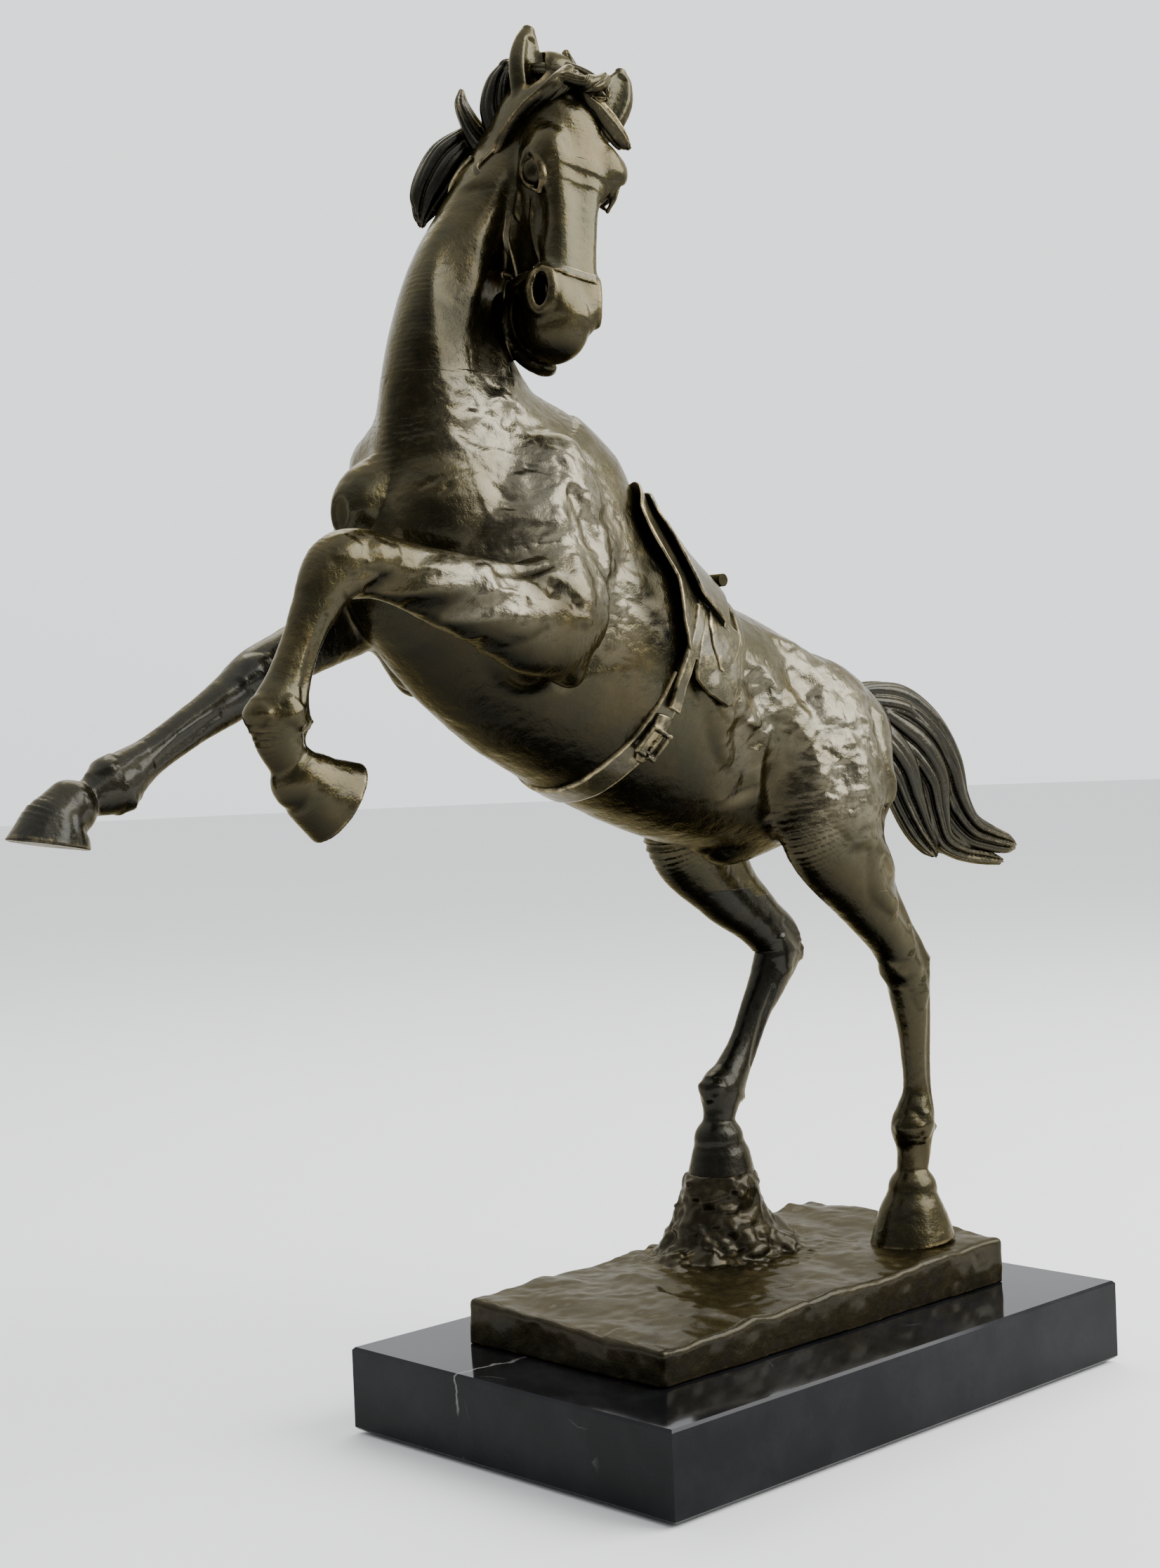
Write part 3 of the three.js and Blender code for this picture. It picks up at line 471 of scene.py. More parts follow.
LEG_DENTS = [
    ((-280, -52, 350), (0.45, 0, 1), 18, 2.4, 0.9, 1.6), ((-238, -57, 380), (1, 0, 0.2), 14, 3.4, 1.0, 3),
    ((-283, -53, 314), (0.5, 0, 1), 7, 4, 0.8, 2), ((98, -39, 155), (0, 0, 1), 26, 2.4, 0.9, 1.6),
    ((90, -38, 102), (0, 0, 1), 8, 4, 0.8, 2), ((92, -41, 206), (0.5, 0, -1), 12, 4, 1.4, 3),
    ((45, 23, 170), (0.5, 0, 1), 20, 2.4, 0.9, 1.6), ((70, 24, 212), (0.6, 0, -0.6), 10, 4, 1.4, 3),
    ((-285, 24, 323), (0.85, 0, 0.5), 18, 2.4, 0.9, 1.6),
    ((-210, -65, 370), (1, 0, 0.16), 26, 4, 1.1, 4), ((62, -46, 238), (0.7, 0, -0.7), 22, 4, 1.2, 4),
]


def sculpt_horse():
    horse = Sculpture()
    horse.add(Chain(TRUNK), 10)
    horse.add(Chain(NECK, turn=(-0.95, 0.3, 0)), 14)
    for leg in (LEFT_FORE, RIGHT_FORE, LEFT_HIND, RIGHT_HIND):
        horse.add(Chain(leg), (9, 3))
    horse.add(Chain(SHEATH), 6)
    horse.add(Ellipsoid((-175, 14, 434), (21, 18, 27)), 12)  # base of the neck
    for side in (-1, 1):
        blade = Ellipsoid((-146, side * 36, 392), (54, 27, 20), (0.25, 0, 0.97), (0, 1, 0))
        horse.add(blade, 7)
        horse.add(Ellipsoid((-149, side * 50, 350), (14, 9, 9), (0.55, 0, -0.8), (0, 1, 0)), 5)
    for rows, shape in ((TRUNK_SWELLS, horse.swell), (TRUNK_DENTS, horse.dent)):
        for place, along, *sizes in rows:
            for spot, way in both_sides(place, along):
                shape(spot, way, *sizes)
    for rows, shape in ((NECK_DENTS, horse.dent), (LEG_SWELLS, horse.swell), (LEG_DENTS, horse.dent)):
        for row in rows:
            shape(*row)
    add_hoof(horse, LEFT_FORE_HOOF, (-264.6, -45, 295.5), (0.82, 0, -0.57))
    add_hoof(horse, RIGHT_FORE_HOOF, (-346.7, 28, 284.4), (-0.186, 0, -0.98))
    add_hoof(horse, LEFT_HIND_HOOF, (90, -31, 62.8), (0.06, 0, -1))
    add_hoof(horse, RIGHT_HIND_HOOF, (17, 29, 93.5), (0, 0, -1))
    return horse


# ---------------------------------------------------------------- the head

# The head's own frame: down its length, out of its face, and towards the horse's right.
POLL = np.array([-121.0, -27.0, 594.0])
HEAD_DOWN = unit(np.array([-0.12, -0.10, -0.988]))
HEAD_FACE = np.array([-0.082, -0.997, 0.0])
HEAD_FACE = unit(HEAD_FACE - HEAD_DOWN * (HEAD_FACE @ HEAD_DOWN))
HEAD_RIGHT = np.cross(HEAD_DOWN, HEAD_FACE)
HEAD_AXES = np.stack([HEAD_DOWN, HEAD_FACE, HEAD_RIGHT])


def head_point(place):
    return POLL + np.array(place, float) @ HEAD_AXES


def head_ball(place, radii, along=(1, 0, 0), out=(0, 0, 1)):
    """An ellipsoid placed and turned in the head's frame (down, face, right)."""
    return Ellipsoid(head_point(place), radii, np.array(along, float) @ HEAD_AXES,
                     np.array(out, float) @ HEAD_AXES)


def head_cord(points, radius, taper=None):
    return cord([head_point(p) for p in points], radius, taper)


SKULL = [
    (-4, 10, -12, 11, -1), (7, 18, -24, 17.5, -1), (20, 22, -31, 19.5, -1), (34, 22.5, -39, 18.5, -1),
    (46, 21, -40, 16.5, 0), (58, 20.5, -35, 14.8, 1), (70, 19.5, -25, 13.2, 1.6), (82, 19, -16, 12.2, 2),
    (92, 19.5, -12, 12.6, 3), (102, 20, -10, 13.2, 4), (110, 19, -8, 12.4, 5), (114.5, 15.5, -3, 9, 5.5),
]
# The two edges of the face: down, height, and how far right and left of the middle.
BRIDGE = [(30, 12, 9.5, 9), (44, 17.2, 9, 9), (54, 18.2, 8.2, 8.4), (62, 18, 7.4, 7.4), (76, 17.5, 7, 6.6),
          (88, 17, 7, 6)]
JAW = [(58, -31, -1, 11, 10), (72, -30, -1, 10, 8), (84, -27.5, -1, 9.6, 4.6), (95, -27, -1, 9.2, 3.6),
       (106, -25, -1, 9, 3.4), (115, -18.5, -1, 8.6, 3.8), (121.5, -9, 0, 6.4, 3.6), (123, -3, 1, 3.4, 2.4)]
RIGHT_EAR = [[-131, -23, 580, 5, 5], [-131.5, -23, 590, 6.6, 5.4], [-130.5, -22, 602, 7.6, 5],
             [-127.5, -20.5, 612, 6, 3.8], [-125.5, -20, 618.5, 3, 2]]
LEFT_EAR = [[-105, -37, 572, 5, 5], [-101, -39, 579, 8.6, 5.5], [-96.5, -41, 589, 9.5, 5],
            [-94, -42, 596.5, 6.8, 3.6], [-93.5, -42.5, 600.8, 2.8, 1.8]]


def sculpt_head(horse):
    rows = [[*head_point((down, (front + back) / 2, middle)), half, (front - back) / 2]
            for down, front, back, half, middle in SKULL]
    horse.add(Chain(rows, side=HEAD_RIGHT, step=1.0, power=2.5), 6)
    for side in (1, -1):
        edge = [[*head_point((down, height - 3.2, 1.5 + side * (right if side > 0 else left))), 4, 4]
                for down, height, right, left in BRIDGE]
        horse.add(Chain(edge, side=HEAD_RIGHT, step=1.0), 9)
    for side, middle in ((1, 0), (-1, -2)):
        horse.add(head_ball((44, 9, middle + side * 13), (12, 9, 7)), 7)  # orbit
        horse.add(head_ball((37, 14, middle + side * 13.5), (7, 9, 5), (0.35, 1, 0.2 * side)), 7)  # brow
        horse.add(head_ball((54, -22.5, side * 10), (20, 20, 10)), 5)  # round of the jaw
        horse.cut(head_ball((62, 10, side * 21), (14, 6, 6), (1, 0.12, 0)), 6)  # under the eye
        horse.cut(head_ball((24, 4, side * 26), (9, 8, 5)), 6)  # temple
        horse.cut(head_ball((84, 2, side * 20), (9, 7, 6)), 6)
    horse.add(head_ball((38.5, 12, -20), (8.8, 9.2, 9.2)), 5)  # left orbit, seen against the light
    horse.add(head_ball((106, 9, 5), (13, 13, 14)), 5)  # muzzle
    horse.add(head_ball((113, 8, 6), (9.5, 11, 12)), 4)  # upper lip
    jaw = [[*head_point((down, face, right)), width, depth] for down, face, right, width, depth in JAW]
    # mouth, then the lower jaw across it and the tongue between
    horse.cut(head_ball((102, -17, 4), (16, 8.5, 17), (1, 0.25, 0)), 1.4)
    horse.cut(head_ball((113, -6, 4), (9, 6, 17), (1, 1.1, 0)), 1.4)
    horse.add(Chain(jaw, side=HEAD_RIGHT, step=1.0), 1.6)
    horse.add(head_ball((100, -17, 0), (15, 7, 5.5), (1, 0.4, 0)), 2)
    for side in (1, -1):
        nostril = np.array([97.5, 12.5, 4 + side * 11.5])
        across = np.array([0, 0.835, -0.55 * side])
        out = (0, 0.55, 0.835 * side)
        rim = [(-9, 1), (-6.5, 4.2), (0, 5), (6.5, 3.2), (9.5, -0.6), (6.5, -4), (0, -4.8), (-5, -3)]
        horse.add(head_ball(nostril, (12, 9, 6), (1, 0, 0), out), 4)
        horse.cut(head_ball(nostril + np.array(out) * 3, (7.2, 3.7, 8), (1, 0, 0), out), 1.6)
        ring = [nostril + np.array(out) * 4.2 + across * b + (a, 0, 0) for a, b in rim]
        horse.add(head_cord(ring, 1.1, [.5, 1, 1.1, 1.1, 1, .9, .8, .5]), 2.5)
        # eye: socket, ball and lids
        eye = np.array([45.5, 10.2, side * 19.2 - (2 if side < 0 else 0)])
        horse.cut(head_ball(eye + (0, 0, side * 2.6), (9.5, 6.4, 4), (1, 0.35, 0)), 2.5)
        horse.add(head_ball(eye + (0, -0.2, -side * 1.6), (6.4, 4.8, 4.4), (1, 0.35, 0)), 0.4)
        lower = [(-9, -2.4, -1.4), (-5.6, -5.4, -0.4), (0, -5.8, 0), (5, -3.2, -0.4), (9.5, 2.6, -1.6)]
        horse.add(head_cord([eye + (a, b, side * c) for a, b, c in lower], 1.0, [.5, 1, 1, 1, .5]), 1.6)
        upper = [(-9, -2.2, -1.4), (-6.4, 2.4, -0.3), (-1, 5.8, 0), (4.6, 6.2, -0.8), (9.8, 2.8, -1.8)]
        horse.add(head_cord([eye + (a, b, side * c) for a, b, c in upper], 1.3, [.5, 1, 1.2, 1, .5]), 1.8)
        # veins and folds of the cheek
        for path, radius in ((((56, 6, 17), (66, 4, 16), (76, 5, 15), (84, 8, 14)), 1.0),
                             (((52, -1, 19), (60, -3, 18), (69, -2, 17)), 0.9)):
            horse.vein([head_point((down, face, side * right)) for down, face, right in path], radius)
        horse.cut(head_ball((67, -2, side * 17.5), (6, 4, 2.4), (1, 0.6, 0)), 3)
    for stations, middle in ((RIGHT_EAR, (0.1, -1, 0.1)), (LEFT_EAR, (-0.5, -1, 0.2))):
        horse.add(Chain(stations, side=HEAD_RIGHT, step=0.7), 1.6)
        front = unit(np.array(middle))
        rows = [[*(np.array(row[:3]) + front * row[4] * 1.25), row[3] * 0.66, row[4] * 0.7]
                for row in stations[1:4]]
        horse.cut(Chain(rows, side=HEAD_RIGHT, step=0.7), 1.4)


# Locks of hair: stations, then the number of strands, their depth, their twist, and the blend.
TAIL_LOCKS = [
    ([[84, 0, 327, 8, 7], [104, -1, 329, 10, 9], [126, -2, 325, 12, 12], [145, -3, 312, 13, 14],
      [158, -4, 294, 13, 14], [164, -5, 275, 11, 13], [176, -6, 261, 9, 10], [194, -7, 254, 6.5, 7.5],
      [209, -8, 250, 4.5, 5.5], [216, -8, 248.5, 2, 2.5]], 7, 3.0, 0.35, 2),
    ([[90, -3, 322, 6, 7], [106, -6, 312, 8, 11], [119, -8, 296, 9, 13], [126, -8, 279, 8.5, 12],
      [135, -7, 264, 7, 9.5], [145, -6, 253, 5, 6], [150, -6, 248.5, 2.4, 2.8]], 6, 2.8, 0.5, 1.5),
    ([[112, -5, 320, 7, 7], [132, -8, 306, 8, 10], [144, -10, 289, 8, 11], [147, -10, 271, 7, 9],
      [154, -8, 257, 6, 7.5], [170, -7, 249, 5, 6], [190, -6, 244.5, 4, 5], [206, -6, 241, 2.2, 2.6]],
     5, 2.4, 0.6, 1.2),
    ([[104, 6, 322, 6, 8], [126, 8, 310, 8, 12], [140, 8, 292, 8, 12], [146, 6, 272, 7, 10],
      [160, 4, 256, 5, 7], [178, 3, 249, 3, 4]], 6, 2.2, 0.5, 1.2),
]
# Grooves between the tail's locks: path and radius.
TAIL_GROOVES = [
    (((104, -15, 318), (122, -19, 304), (134, -20, 286), (138, -17, 268)), 2.6),
    (((128, -14, 324), (147, -17, 308), (156, -17, 288), (158, -15, 270)), 2.4),
    (((112, -17, 300), (119, -18, 284), (126, -16, 268)), 1.6),
    (((150, -14, 316), (163, -14, 300), (170, -14, 282), (176, -13, 268)), 1.5),
]
MANE_LOCKS = [
    ([[-133, 12, 578, 7, 6], [-141, 17, 568, 10.5, 10], [-149, 20, 555, 9.5, 9], [-154, 20.5, 545, 5, 5],
      [-155.5, 20, 540, 2, 2]], 9, 1.8, 0.4, 2),
    ([[-138, 14, 576, 4, 4], [-148, 19, 566, 5, 5], [-155, 21, 553, 4.5, 4.5], [-157.5, 20, 546, 1.6, 1.6]],
     5, 1.2, 0.6, 1),
    ([[-128, 0, 564, 9, 6], [-132, 5, 574, 11, 5], [-136, 8, 583, 9, 3.6], [-138.5, 10, 591, 6, 2.6],
      [-138.5, 10, 597, 2, 1.4]], 5, 1.0, 0.2, 1),
    ([[-128, -6, 576, 10, 8], [-129, -4, 587, 10, 9], [-129, -6, 597, 8, 8], [-127, -8, 604.5, 4.5, 5]],
     7, 2.2, 0.5, 1.5),
    ([[-120, -14, 594, 9, 9], [-114, -20, 601, 8, 7], [-110, -26, 602, 6, 5]], 5, 1.8, 0.3, 1.5),
    ([[-113, -24, 600, 4, 4], [-112, -27, 606, 3.6, 3], [-112.5, -28, 611, 2, 1.8]], 4, 0.5, 0, 1.5),
]
# On the head a station is its place in the head's frame, then half width and half depth.
FORELOCK_LOCKS = [
    ([((-5, -4, 2), 9, 7), ((-2, 6, -3), 10, 7), ((4, 17, -6), 9, 6), ((9, 23, -9), 6, 4)], 7, 2.2, 0.3, 2),
    ([((8, 21, -1), 3, 3), ((13, 21, -4), 3.5, 3), ((16, 21.5, -9), 4.5, 3), ((20, 21, -14.5), 5, 2.8),
      ((24, 20, -20), 4.5, 2.4), ((26.5, 18.5, -25), 3, 2), ((26, 17.5, -28.5), 1.2, 1.2)], 4, 1.0, 0.4, 1.2),
    ([((3, 24, -10), 3, 3), ((7, 26.5, -4), 4, 3), ((9, 26.5, 3), 4, 3), ((7, 23, 9), 3, 3)],
     3, 1.0, 0.4, 1.2),
    ([((2, 17, 3), 5, 4), ((8, 19, 10), 5, 3.4), ((13, 16, 15), 5, 2.8), ((17.5, 8.5, 18.5), 4.6, 2.4),
      ((24, -2, 20), 4, 2.2), ((32, -11, 20.5), 3.4, 2), ((40, -16, 20), 2.6, 1.6), ((47, -20, 19), 1.2, 1)],
     3, 0.9, 0.4, 1),
    ([((2, 6, -6), 5, 4), ((-5, 6, -6), 5, 4), ((-10, 6, -5), 3.6, 3), ((-13.5, 6, -4.4), 1.8, 1.8)],
     4, 0.6, 0, 1),
]


def sculpt_hair(locks, side):
    hair = Sculpture()
    for stations, count, deep, twist, blend in locks:
        hair.add(Chain(stations, side=side, step=0.8, strands=(count, deep, twist)), blend)
    return hair


def sculpt_tail():
    tail = sculpt_hair(TAIL_LOCKS, (0, 1, 0))
    for path, radius in TAIL_GROOVES:
        tail.cut(cord(path, radius, [.5] + [1] * (len(path) - 2) + [.6]), 2)
    return tail


def sculpt_mane():
    return sculpt_hair(MANE_LOCKS, (-0.95, -0.3, 0))


def sculpt_forelock():
    locks = [([[*head_point(place), width, depth] for place, width, depth in rows], *rest)
             for rows, *rest in FORELOCK_LOCKS]
    return sculpt_hair(locks, HEAD_RIGHT)


# ---------------------------------------------------------------- meshes

def make_mesh(name, points, faces):
    """A smooth mesh object from points in millimetres."""
    mesh = bpy.data.meshes.new(name)
    mesh.from_pydata((np.asarray(points) * MM).tolist(), [], faces)
    mesh.validate()
    mesh.polygons.foreach_set("use_smooth", [True] * len(mesh.polygons))
    piece = bpy.data.objects.new(name, mesh)
    bpy.context.scene.collection.objects.link(piece)
    return piece


def signed_volume(points, faces):
    total = 0.0
    for k in range(1, faces.shape[1] - 1):
        a, b, c = points[faces[:, 0]], points[faces[:, k]], points[faces[:, k + 1]]
        total += np.einsum("ij,ij->i", a, np.cross(b, c)).sum()
    return total


def set_attribute(piece, name, values):
    layer = piece.data.attributes.new(name, "FLOAT", "POINT")
    layer.data.foreach_set("value", np.asarray(values, np.float32))


# Painted shade: places darkened where shade falls, in creases and the groin, inside the mouth, nostril and
# eye, under the saddle's front, on the breast, along the neck and on a hoof: [x, y, z, radius, strength], in
# millimetres.
PAINTED_SHADE_SPOTS = [
    [-87, -35, 409, 9, 1], [-86, -38, 399, 10, 1], [-87, -42, 389, 11, 1], [-89, -45, 379, 11, 1],
    [-89, -47, 369, 10, 1], [-88, -50, 359, 9, 1], [-84, -52, 351, 7, 1], [-172, -62, 380, 8, 0.8],
    [-164, -64, 373, 8, 0.8], [-40, -45, 298, 12, 0.4], [-6, -46, 286, 12, 0.7], [-10, -44, 270, 14, 0.8],
    [-22, -46, 268, 16, 0.6], [-8, -40, 262, 14, 0.7], [-264, -48, 294, 15, 0.55],
    [-158, -22, 514, 13, 0.6], [-170, -26, 500, 15, 0.75], [-181, -26, 488, 15, 0.75],
    [-191, -27, 475, 14, 0.7], [-199, -22, 461, 14, 0.6], [-202, -18, 446, 14, 0.5],
    [-193, -37, 407, 16, 0.6], [-180, -40, 401, 12, 0.5],
    [*head_point((98, -15, 4)), 6, 1], [*head_point((106, -10, 4)), 5, 1], [*head_point((113, -4, 4)), 4, 1],
    [*head_point((97.5, 13, 15)), 5, 0.9], [*head_point((45.5, 10.2, 20)), 6, 0.9],
]


# Painted shade from the places above, broken up by noise.
def painted_shade_at(points):
    total = np.zeros(len(points))
    for x, y, z, radius, strength in PAINTED_SHADE_SPOTS:
        away = np.linalg.norm(points - (x, y, z), axis=1)
        total = np.maximum(total, np.clip(1.5 - away / radius, 0, 1) * strength)
    return total * np.clip(0.9 + 0.35 * noise(points, 6, 8), 0, 1)


# Areas modelled with rough strokes of the tool: [x, y, z, radius].
CHISELLED = [[-142, -50, 412, 36], [30, -45, 322, 32], [-24, -45, 328, 20], [-160, -30, 452, 26],
             [20, -42, 345, 20], [-36, -45, 300, 16], [-122, -52, 378, 24], [28, -54, 288, 24],
             [-200, -60, 372, 26]]


def roughness(points):
    rough = np.zeros(len(points))
    for x, y, z, radius in CHISELLED:
        away = np.linalg.norm(points - (x, abs(y), z), axis=1)
        other = np.linalg.norm(points - (x, -abs(y), z), axis=1)
        rough = np.maximum(rough, np.clip(1.5 - np.minimum(away, other) / radius, 0, 1))
    return rough


def paint_patina_and_light(piece, sculpture, points, normals):
    set_attribute(piece, "open", openness(sculpture, points, normals))
    set_attribute(piece, "ridge", sharpness(sculpture, points, normals))
    # Painted shade: surfaces that face down grow dark, and below 250 mm everything grows darker towards the
    # bottom.
    painted_underside_shade = 0.92 * np.clip(-1.6 * normals[:, 2] - 0.1, 0, 1)
    low = 0.3 * np.clip((250 - points[:, 2]) / 60, 0, 1)
    set_attribute(piece, "dark", np.maximum(painted_shade_at(points), np.maximum(painted_underside_shade, low)))
    # Rubbed metal with a painted highlight on the chiselled zones, lighter the more they face up.
    set_attribute(piece, "polish_and_highlight", roughness(points) * np.clip(0.75 + 1.5 * normals[:, 2], 0, 1))


def clay(points, calm):
    """Dents and strokes of the modelled clay, as a shift along the normal in mm."""
    rough = roughness(points)
    warped = points + 3.0 * np.stack([noise(points, 8, s) for s in (21, 22, 23)], axis=1)
    lumps = noise(warped * (1, 1, 1.3), 11.0, 3)
    strokes = noise(warped * (1, 1, 1.9), 4.8, 5)
    pits = np.maximum(noise(points, 3.4, 11) - 0.45, 0)
    shift = lumps * (0.28 + 1.25 * rough) + strokes * (0.10 + 0.24 * rough)
    shift = shift + noise(points, 2.4, 9) * (0.03 + 0.03 * rough) - pits * (0.35 + 0.6 * rough)
    return shift * calm


def cast(name, sculpture, low, high, voxel, keep=None, calm=1.0):
    """One casting: the field inside a box, as a finished mesh with the attributes of its patina, its painted
    shade and its painted highlight.
    """
    voxel = voxel * 1
    points, triangles, quads = extract(sculpture, low, high, voxel, keep)
    triangles = np.asarray(triangles).reshape(-1, 3)
    quads = np.asarray(quads).reshape(-1, 4)
    if signed_volume(points, quads) + (signed_volume(points, triangles) if len(triangles) else 0) < 0:
        triangles, quads = triangles[:, ::-1], quads[:, ::-1]
    free = np.abs(sculpture.distance(points)) < voxel * 1.2
    settled, normals = settle(sculpture, points)
    points = np.where(free[:, None], settled, points)
    shift = np.where(free, clay(points, calm), 0)
    piece = make_mesh(name, points + normals * shift[:, None], [*triangles.tolist(), *quads.tolist()])
    paint_patina_and_light(piece, sculpture, points, normals)
    return piece


# ---------------------------------------------------------------- leather laid on the horse

class Skin:
    """The horse's surface, addressed by station and angle around a chain.

    Angle 0 is the back, and it grows towards the horse's left.
    """

    def __init__(self, chain, field):
        self.chain = chain
        self.field = field

    def point(self, u, degrees, lift):
        chain = self.chain

        def at(rows):
            return np.stack([np.interp(u, chain.u, rows[:, k]) for k in range(rows.shape[1])], axis=1)

        angle = np.radians(degrees)[:, None]
        depth = np.interp(u, chain.u, chain.depth)[:, None]
        width = np.interp(u, chain.u, chain.width)[:, None]
        reach = unit(at(chain.normal)) * np.cos(angle) * depth - unit(at(chain.side)) * np.sin(angle) * width
        far = np.linalg.norm(reach, axis=1)
        way = reach / far[:, None]
        centre = at(chain.centre)
        for _ in range(7):
            gap = self.field.distance(centre + way * far[:, None])
            far = far + np.clip(lift - gap, -4, 4) * 0.85
        return centre + way * far[:, None], way


def rimmed(count, length, rim=0.45):
    """Positions 0..1 with two close rows at each end for a rounded edge, and their heights."""
    edge = min(rim / length, 0.08)
    inner = np.linspace(edge * 2.6, 1 - edge * 2.6, count)
    places = np.concatenate([[0, edge * 0.6, edge * 1.4], inner, [1 - edge * 1.4, 1 - edge * 0.6, 1]])
    heights = np.concatenate([[0.35, 0.82, 0.97], np.ones(count), [0.97, 0.82, 0.35]])
    return places, heights


def sheet(name, top, bottom, rim_wear_and_highlight):
    """A closed sheet between two grids of points; the rim mask marks the rubbed rim with its painted edge
    highlight, and the lower face is painted with shade.
    """
    rows, columns = top.shape[:2]
    points = np.concatenate([top.reshape(-1, 3), bottom.reshape(-1, 3)])
    number = np.arange(rows * columns).reshape(rows, columns)
    faces = []
    for grid, flip in ((number, False), (number + rows * columns, True)):
        quads = np.stack([grid[:-1, :-1], grid[1:, :-1], grid[1:, 1:], grid[:-1, 1:]], axis=-1).reshape(-1, 4)
        faces.append(quads[:, ::-1] if flip else quads)
    ring = np.concatenate([number[0, :], number[1:, -1], number[-1, -2::-1], number[-2:0:-1, 0]])
    following = np.roll(ring, -1)
    low = rows * columns
    faces.append(np.stack([ring, following, following + low, ring + low], axis=-1))
    quads = np.concatenate(faces)
    if signed_volume(points, quads) < 0:
        quads = quads[:, ::-1]
    piece = make_mesh(name, points, quads.tolist())
    set_attribute(piece, "ridge", np.clip(np.concatenate([rim_wear_and_highlight.ravel(), rim_wear_and_highlight.ravel() * 0.4]), 0, 1))
    # Painted shade: the lower face gets little openness and so the dark colour of the hollows.
    set_attribute(piece, "open", np.concatenate([np.full(low, 0.8), np.full(low, 0.15)]))
    set_attribute(piece, "dark", np.zeros(2 * low))
    return piece


STATION_LENGTH = 33  # mm between two stations of the trunk, about


def panel(name, skin, outline, lift, thickness, rise=(0, 0), rows=60, columns=34, wobble=0.25):
    """Leather on the trunk. Each row of the outline is [degrees, rear station, front station]."""
    outline = np.array(outline, float)
    share = np.linspace(0, 1, len(outline))
    spread = np.abs(outline[-1, 0] - outline[0, 0]) * 0.8
    down, height_down = rimmed(rows, spread)
    across, height_across = rimmed(columns, np.mean(outline[:, 2] - outline[:, 1]) * STATION_LENGTH)
    degrees = np.interp(down, share, outline[:, 0])
    rear = np.interp(down, share, outline[:, 1])
    front = np.interp(down, share, outline[:, 2])
    sway = noise(np.stack([degrees * 0.8, rear * 30, front * 0], axis=1), 7, 31) * wobble / STATION_LENGTH
    u = (rear + sway)[:, None] + ((front - rear)[:, None]) * across[None, :]
    grid = np.broadcast_to(degrees[:, None], u.shape)
    raised = lift + rise[0] * (1 - across) ** 2 + rise[1] * across ** 2
    raised = np.broadcast_to(raised[None, :], u.shape)
    full = np.minimum(height_down[:, None], height_across[None, :])
    base, way = skin.point(u.ravel(), grid.ravel(), np.zeros(u.size))
    dents = noise(base, 6, 12) * 0.18 + noise(base, 2.5, 13) * 0.06
    top = base + way * (raised + thickness * full).ravel()[:, None] + way * dents[:, None]
    bottom = base + way * raised.ravel()[:, None]
    rim_wear_and_highlight = np.where(full < 0.99, 0.85, 0.0)
    rim_wear_and_highlight = np.maximum(rim_wear_and_highlight, np.clip(0.25 + 0.5 * dents.reshape(u.shape) / 0.2, 0, 0.5))
    return sheet(name, top.reshape(*u.shape, 3), bottom.reshape(*u.shape, 3), rim_wear_and_highlight)


def ribbon(name, path, field, width, thickness, lift=0.0, step=0.8):
    """A strap following the surface of a field through the given places."""
    rows = np.array([[*p, 0, 0] for p in path], float)
    fine = catmull_rom(rows, np.linspace(0, len(rows) - 1, 20 * len(rows)))[:, :3]
    length = length_of(fine)
    count = max(8, int(length[-1] / step))
    where = np.linspace(0, length[-1], count)
    line = np.stack([np.interp(where, length, fine[:, k]) for k in range(3)], axis=1)
    for _ in range(4):
        slope = unit(field.slope(line))
        line = line + slope * np.clip(lift - field.distance(line), -3, 3)[:, None] * 0.9
    for _ in range(3):
        line[1:-1] = (line[:-2] + 2 * line[1:-1] + line[2:]) / 4
    out = unit(field.slope(line, 1.2))
    along = unit(np.gradient(line, axis=0))
    side = unit(np.cross(out, along))
    places, heights = rimmed(5, width, 0.35)
    offset = (places - 0.5) * width
    top = line[:, None] + side[:, None] * offset[None, :, None] + out[:, None] * (
        thickness * heights[None, :, None])
    bottom = line[:, None] + side[:, None] * offset[None, :, None] - out[:, None] * 0.9
    rim_wear_and_highlight = np.broadcast_to(np.where(heights < 0.99, 0.8, 0.35)[None, :], top.shape[:2])
    return sheet(name, top, bottom, rim_wear_and_highlight)


# ---------------------------------------------------------------- saddle, girth and halter

BLANKET = [[-84, 4.92, 6.2], [-60, 4.92, 6.45], [-30, 4.9, 6.85], [0, 4.9, 6.75], [30, 4.92, 7.0],
           [46, 4.94, 7.08], [54, 4.96, 6.8], [62, 4.98, 6.42], [76, 5.0, 6.22], [86, 5.06, 5.98]]
BORDER = [[-84, 4.9, 5.1], [0, 4.88, 5.08], [46, 4.9, 5.1], [70, 4.95, 5.14], [86, 5.0, 5.22],
          [92, 5.08, 5.3]]
SEAT = [[-66, 5.43, 5.62], [-62, 5.42, 6.03], [-50, 5.36, 6.45], [-37, 5.3, 6.9], [0, 5.15, 6.6],
        [37, 5.3, 6.9], [40, 5.31, 6.73], [50, 5.36, 6.45], [62, 5.42, 6.03], [65, 5.42, 5.6]]
LOWER_FLAP = [[60, 5.1, 5.95], [80, 5.08, 5.85], [88, 5.1, 5.8], [92, 5.14, 5.72], [94, 5.22, 5.5]]
INNER_FLAP = [[60, 5.14, 5.8], [70, 5.2, 5.78], [76, 5.28, 5.68], [83, 5.42, 5.48]]
STRAP = [[64, 5.84, 6.0], [80, 5.85, 6.01], [90, 5.84, 6.0], [98, 5.83, 5.98], [108, 5.74, 5.9]]
GIRTH = [[-90, 5.8, 6.02], [-140, 5.72, 6.02], [-180, 5.7, 6.03], [-220, 5.7, 6.03], [-244, 5.7, 6.0],
         [-266, 5.78, 5.98]]


def opposite(outline):
    return [[-degrees, rear, front] for degrees, rear, front in outline][::-1]


